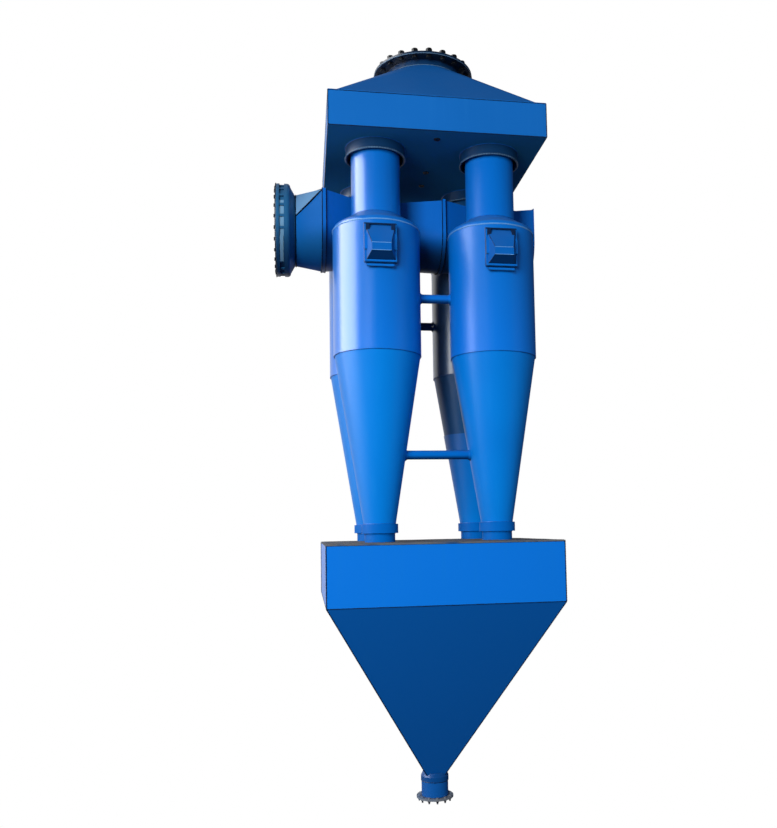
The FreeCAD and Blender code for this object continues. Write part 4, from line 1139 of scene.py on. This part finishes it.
@dataclass
class Inlet:
    """Washers and closing band of the inlet flanges, the pale sheets that paint the sky's reflection on the
    transition's upper facets, and the sealed edges of the inlet and the header.
    """

    bolts: int = 24
    circle: float = 0.300
    head_height: float = 0.010
    washer: float = 0.0165
    weld: float = 0.0035
    band: float = 0.3085
    cover: float = 0.3214
    strip_top: float = 22.5
    strip_low: float = 59.5
    cover_top: float = 24.4
    neck: float = 0.250
    rim: float = 0.328
    facet_angles: tuple[float, float] = (2.0, 85.0)
    facet_steps: int = 22
    facet_line: float = 0.0052
    sheet_gap: float = -0.0005
    sheet: float = 0.0015

    def build(self) -> None:
        """Make the fasteners, the painted facet reflection and the welds."""
        self.fasteners()
        self.sheen_sheets()
        self.header_welds()

    def fasteners(self) -> None:
        """Washers under the bolt heads, the band that closes the gap, and its pale strips at both sides."""
        counter_low, counter_high = box_of("inlet_counter_flange")
        ring_low = box_of("inlet_spacer_ring")[0]
        height = (counter_low.z + counter_high.z) / 2
        away = Matrix.Rotation(-math.pi / 2, 4, "Y")
        flange = box_of("inlet_flange")[0].x
        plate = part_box("inlet_bolts")[0][0] + self.head_height
        made = Maker()
        for y, z in around(self.bolts, self.circle, 90.0):
            seat = Matrix.Translation((plate, y, height + z)) @ away
            made.turned(seat, [(0.0084, 0.0), (self.washer, 0.0), (self.washer, 0.002), (0.0084, 0.002)], 16)
        made.piece("inlet_washers", BOLT)

        centre = Matrix.Translation((0, 0, height)) @ Matrix.Rotation(math.pi / 2, 4, "Y")
        width = (ring_low.x + 0.0004, flange - 0.0004)
        band = Maker()
        band.turned(centre, [(self.band, width[0]), (self.band + 0.0015, width[0]),
                             (self.band + 0.0015, width[1]), (self.band, width[1])], 96)
        band.piece("inlet_gap_band", TEAL)
        strips = Maker()
        for middle in (-90.0, 90.0):
            sign = 1 if middle > 0 else -1
            upper = middle + sign * self.strip_top
            lower = middle - sign * self.strip_low
            strips.strip(centre, (self.band + 0.0016, self.band + 0.0024), width, (upper, lower))
            strips.strip(centre, (self.cover, self.cover + 0.001), (width[0] + 0.004, width[1] - 0.004),
                         (middle - sign * self.cover_top, lower))
        strips.piece("inlet_gap_strips", PALE_RING)
        self.outlines(counter_low.x, height)

    def outlines(self, face: float, height: float) -> None:
        """Dark sealing beads round the flange's face, the neck and the pale facets of the transition."""
        low = box_of("inlet_transition")[0]
        neck = [Vector((low.x, point.x, height + point.y)) for point in ring(Vector(), self.neck)]
        rim = [Vector((face, point.x, height + point.y)) for point in ring(Vector(), self.rim)]
        made = Maker()
        made.bead(neck, self.facet_line, closed=True)
        made.bead(rim, self.weld, closed=True)
        for side in (-1, 1):
            corner, feet = self.sheen_facet(side, low.x, height)
            for foot in (feet[0], feet[-1]):
                made.bead([corner, foot], self.facet_line)
        made.piece("inlet_seal_lines", BLACK_SEAM)

    def sheen_facet(self, side: int, neck_x: float, height: float) -> tuple[Vector, list[Vector]]:
        """Corner and foot line of the transition's upper facet at one side.

        Args:
            side: sign of its place along Y.
            neck_x: place of the round end along X.
            height: height of the inlet's axis.

        Returns:
            The corner at the header, and points along the neck.
        """
        header = box_of("header_upstream")[1]
        corner = Vector((box_of("seam_band_inlet")[0].x, side * box_of("inlet_transition")[1].y, header.z))
        first, last = self.facet_angles
        feet = []
        for step in range(self.facet_steps + 1):
            turn = math.radians(first + (last - first) * step / self.facet_steps)
            feet.append(Vector((neck_x, side * self.neck * math.sin(turn), height + self.neck * math.cos(turn))))
        return corner, feet

    def sheen_sheets(self) -> None:
        """Thin pale sheets over the two upper facets of the transition: a painted reflection of the sky."""
        low, _ = box_of("inlet_transition")
        counter_low, counter_high = box_of("inlet_counter_flange")
        height = (counter_low.z + counter_high.z) / 2
        made = Maker()
        for side in (-1, 1):
            corner, feet = self.sheen_facet(side, low.x, height)
            whole = (feet[-1] - feet[0]).cross(corner - feet[0]).normalized() * -side
            rows = []
            for index, foot in enumerate(feet):
                span = feet[min(index + 1, len(feet) - 1)] - feet[max(index - 1, 0)]
                out = span.cross(corner - foot).normalized() * -side
                rows.append([foot + out * self.sheet_gap, corner + whole * self.sheet_gap,
                             corner + whole * self.sheet, foot + out * self.sheet])
            made.grid(rows)
            for row in (rows[0], rows[-1]):
                made.close(row)
        made.piece("inlet_facet_sheen", FACET_SHEEN_BLUE)

    def header_welds(self) -> None:
        """Beads along the header's top edges, and dark lines at both sides of its seam bands."""
        top = box_of("header_upstream")[1].z
        made = Maker()
        for side in (-1, 1):
            run = []
            for node in ("header_upstream", "header_downstream"):
                run.extend(self.edge_points(node, top, side))
            made.bead(run, self.weld)
        for node in ("seam_band_inlet", "seam_band_middle"):
            for x in (box_of(node)[0].x, box_of(node)[1].x):
                made.bead(section_loop(node, x), self.weld * 0.9, closed=True)
        made.piece("header_edge_welds", BLACK_SEAM)

    def edge_points(self, node: str, height: float, side: int) -> list[Vector]:
        """Corners of a top edge of the header, read from the frame.

        Args:
            node: the solid.
            height: height of its flat top.
            side: sign of the edge's place along Y.

        Returns:
            The outermost corner at each place along X, in order.
        """
        found: dict[float, Vector] = {}
        for vertex in bpy.data.objects[node].data.vertices:
            point = vertex.co
            if abs(point.z - height) > 0.0005 or point.y * side <= 0:
                continue
            key = round(point.x, 3)
            if key not in found or abs(point.y) > abs(found[key].y):
                found[key] = point.copy()
        return [found[key] for key in sorted(found)]


@dataclass
class Bracing:
    """Welds where the tie pipes meet the cyclones."""

    weld: float = 0.003

    def build(self) -> None:
        """Make the beads at both ends of every tie."""
        made = Maker()
        for node in ("upper_tie_front", "upper_tie_back"):
            low, high = box_of(node)
            centre = (low + high) / 2
            flare = (high.z - low.z) / 2
            barrel_low, barrel_high = box_of("barrel_front_right")
            radius = (barrel_high.x - barrel_low.x) / 2
            axis = (barrel_high.x + barrel_low.x) / 2
            for side in (-1, 1):
                loop = []
                for step in range(60):
                    turn = math.tau * step / 60
                    across = flare * math.cos(turn)
                    reach = axis - math.sqrt(radius ** 2 - across ** 2)
                    loop.append(Vector((side * reach, centre.y + across, centre.z + flare * math.sin(turn))))
                made.bead(loop, self.weld, closed=True)
        made.piece("tie_welds", BRIGHT_WELD)


@dataclass
class Studio:
    """Floor, world, lamps and the photograph's camera."""

    camera_place: Vector = field(default_factory=lambda: Vector((-0.9065, -6.1751, 1.9029)))
    yaw: float = 9.74
    pitch: float = 4.30
    roll: float = -1.083
    focal: float = 852.46
    axis_x: float = 450.0
    axis_y: float = 464.0
    floor_drop: float = 3.4
    floor_reach: float = 16.0
    shadow_reach: tuple[float, float] = (0.8, 2.1)
    ambient: Colour = (0.15, 0.17, 0.20)

    def build(self) -> None:
        """Set up everything that isn't the object."""
        bpy.context.scene.view_settings.view_transform = "Standard"
        self.world()
        self.floor()
        self.lamps()
        self.camera()

    def world(self) -> None:
        """White background for the camera, soft sky from the left for reflections, low ambient light."""
        scene = bpy.context.scene
        scene.world = bpy.data.worlds.new("studio")
        scene.world.use_nodes = True
        graph = Graph(scene.world.node_tree)
        camera = graph.node("ShaderNodeLightPath", output="Is Camera Ray")
        glossy = graph.node("ShaderNodeLightPath", output="Is Glossy Ray")
        through = graph.node("ShaderNodeLightPath", output="Is Transmission Ray")
        direction = graph.node("ShaderNodeTexCoord", output="Generated")
        left = (graph.part_of(direction, "X") * -0.8 + graph.part_of(direction, "Y") * 0.6).between(0.15, 0.8)
        seen = camera + through + glossy * left
        ambient = graph.node("ShaderNodeBackground", inputs={"Color": self.ambient, "Strength": 1.0})
        dark = graph.node("ShaderNodeBackground", inputs={"Color": self.ambient, "Strength": 0.15})
        white = graph.node("ShaderNodeBackground", inputs={"Color": (1.0, 1.0, 1.0), "Strength": 1.0})
        behind = graph.node("ShaderNodeMixShader", inputs={0: glossy, 1: ambient, 2: dark})
        mixed = graph.node("ShaderNodeMixShader", inputs={0: seen, 1: behind, 2: white})
        graph.node("ShaderNodeOutputWorld", inputs={"Surface": mixed})

    def floor(self) -> None:
        """A pale floor below the hanging object, white where the camera sees it."""
        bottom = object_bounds()[0][2] - self.floor_drop
        mesh = bmesh.new()
        rim = [mesh.verts.new(point + Vector((0, 0, bottom))) for point in ring(Vector(), self.floor_reach, 0.6)]
        mesh.faces.new(rim)
        data = bpy.data.meshes.new("floor")
        mesh.to_mesh(data)
        mesh.free()
        material = bpy.data.materials.new("pale_floor")
        material.use_nodes = True
        graph = Graph(material.node_tree)
        seen = graph.node("ShaderNodeLightPath", output="Is Camera Ray")
        distance = graph.node("ShaderNodeVectorMath", {"operation": "LENGTH"}, {0: graph.place()}, output="Value")
        through = graph.node("ShaderNodeLightPath", output="Is Transmission Ray")
        far = distance.between(*self.shadow_reach) * 0.14
        pale = graph.node("ShaderNodeBsdfDiffuse", inputs={"Color": (0.8, 0.8, 0.8)})
        ground = graph.node("ShaderNodeBsdfDiffuse", inputs={"Color": (0.07, 0.09, 0.12)})
        white = graph.node("ShaderNodeEmission", inputs={"Color": (1.0, 1.0, 1.0), "Strength": 1.0})
        bright = graph.node("ShaderNodeMixShader", inputs={0: far + 0.86, 1: pale, 2: white})
        mixed = graph.node("ShaderNodeMixShader", inputs={0: seen + through, 1: ground, 2: bright})
        graph.node("ShaderNodeOutputMaterial", inputs={"Surface": mixed})
        data.materials.append(material)
        made = bpy.data.objects.new("floor", data)
        bpy.context.scene.collection.objects.link(made)
        made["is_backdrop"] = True

    def lamp(self, name: str, place: Colour, target: Colour, size: tuple[float, float], power: float,
             colour: Colour = (1.0, 1.0, 1.0), seen_in_gloss: bool = True, spreads: bool = True) -> None:
        """A rectangular soft lamp.

        Args:
            name: name of the lamp.
            place: where it stands.
            target: the point that it faces.
            size: its width and height.
            power: its power in watts.
            colour: its colour.
            seen_in_gloss: False if reflections leave it out.
            spreads: False if only reflections show it.
        """
        data = bpy.data.lights.new(name, "AREA")
        data.shape = "RECTANGLE"
        data.size, data.size_y = size
        data.energy = power
        data.color = colour
        made = bpy.data.objects.new(name, data)
        made.location = place
        made.rotation_euler = (Vector(target) - Vector(place)).to_track_quat("-Z", "Y").to_euler()
        made.visible_camera = False
        made.visible_glossy = seen_in_gloss
        made.visible_diffuse = spreads
        bpy.context.scene.collection.objects.link(made)

    def lamps(self) -> None:
        """Broad key from the front left, tall soft box at the left, weak fill from the right."""
        middle = (0.0, 0.0, 2.6)
        self.lamp("key", (-4.6, -8.4, 4.4), middle, (4.0, 5.0), 880.0, (1.0, 0.99, 0.97), False)
        self.lamp("left_box", (-5.2, 1.2, 2.8), middle, (5.0, 6.5), 120.0, (0.95, 0.98, 1.0), False)
        self.lamp("left_gloss", (-6.2, -0.8, 5.6), (0.0, 0.0, 5.0), (6.0, 6.6), 1250.0, (1.0, 0.96, 0.86),
                  spreads=False)
        self.lamp("right_fill", (6.5, -5.0, 3.0), middle, (3.0, 5.0), 60.0, (0.9, 0.95, 1.0), False)

    def camera(self) -> None:
        """The photograph's view."""
        yaw, pitch, roll = (math.radians(angle) for angle in (self.yaw, self.pitch, self.roll))
        forward = Vector((math.sin(yaw) * math.cos(pitch), math.cos(yaw) * math.cos(pitch), math.sin(pitch)))
        level = Vector((math.cos(yaw), -math.sin(yaw), 0))
        up = level.cross(forward)
        right = level * math.cos(roll) + up * math.sin(roll)
        above = up * math.cos(roll) - level * math.sin(roll)
        data = bpy.data.cameras.new("camera")
        data.sensor_fit = "HORIZONTAL"
        data.lens = data.sensor_width * self.focal / PHOTO_WIDTH
        data.shift_x = (PHOTO_WIDTH / 2 - self.axis_x) / PHOTO_WIDTH
        data.shift_y = (self.axis_y - PHOTO_HEIGHT / 2) / PHOTO_WIDTH
        made = bpy.data.objects.new("camera", data)
        made.matrix_world = Matrix.Translation(self.camera_place) @ Matrix(
            (right, above, -forward)).transposed().to_4x4()
        bpy.context.scene.collection.objects.link(made)
        bpy.context.scene.camera = made


def main() -> None:
    """Load the frame, dress it, add the pieces and set up the studio."""
    logging.basicConfig(level=logging.INFO, format="%(message)s")
    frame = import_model()
    Frame(frame["nodes"]).dress()
    for corner in Corner:
        Cyclone(corner).build()
    for part in (Hopper(), DustOutlet(), Plenum(), GasOutlet(), Inlet(), Bracing(), Studio()):
        part.build()


if __name__ == "__main__":
    main()
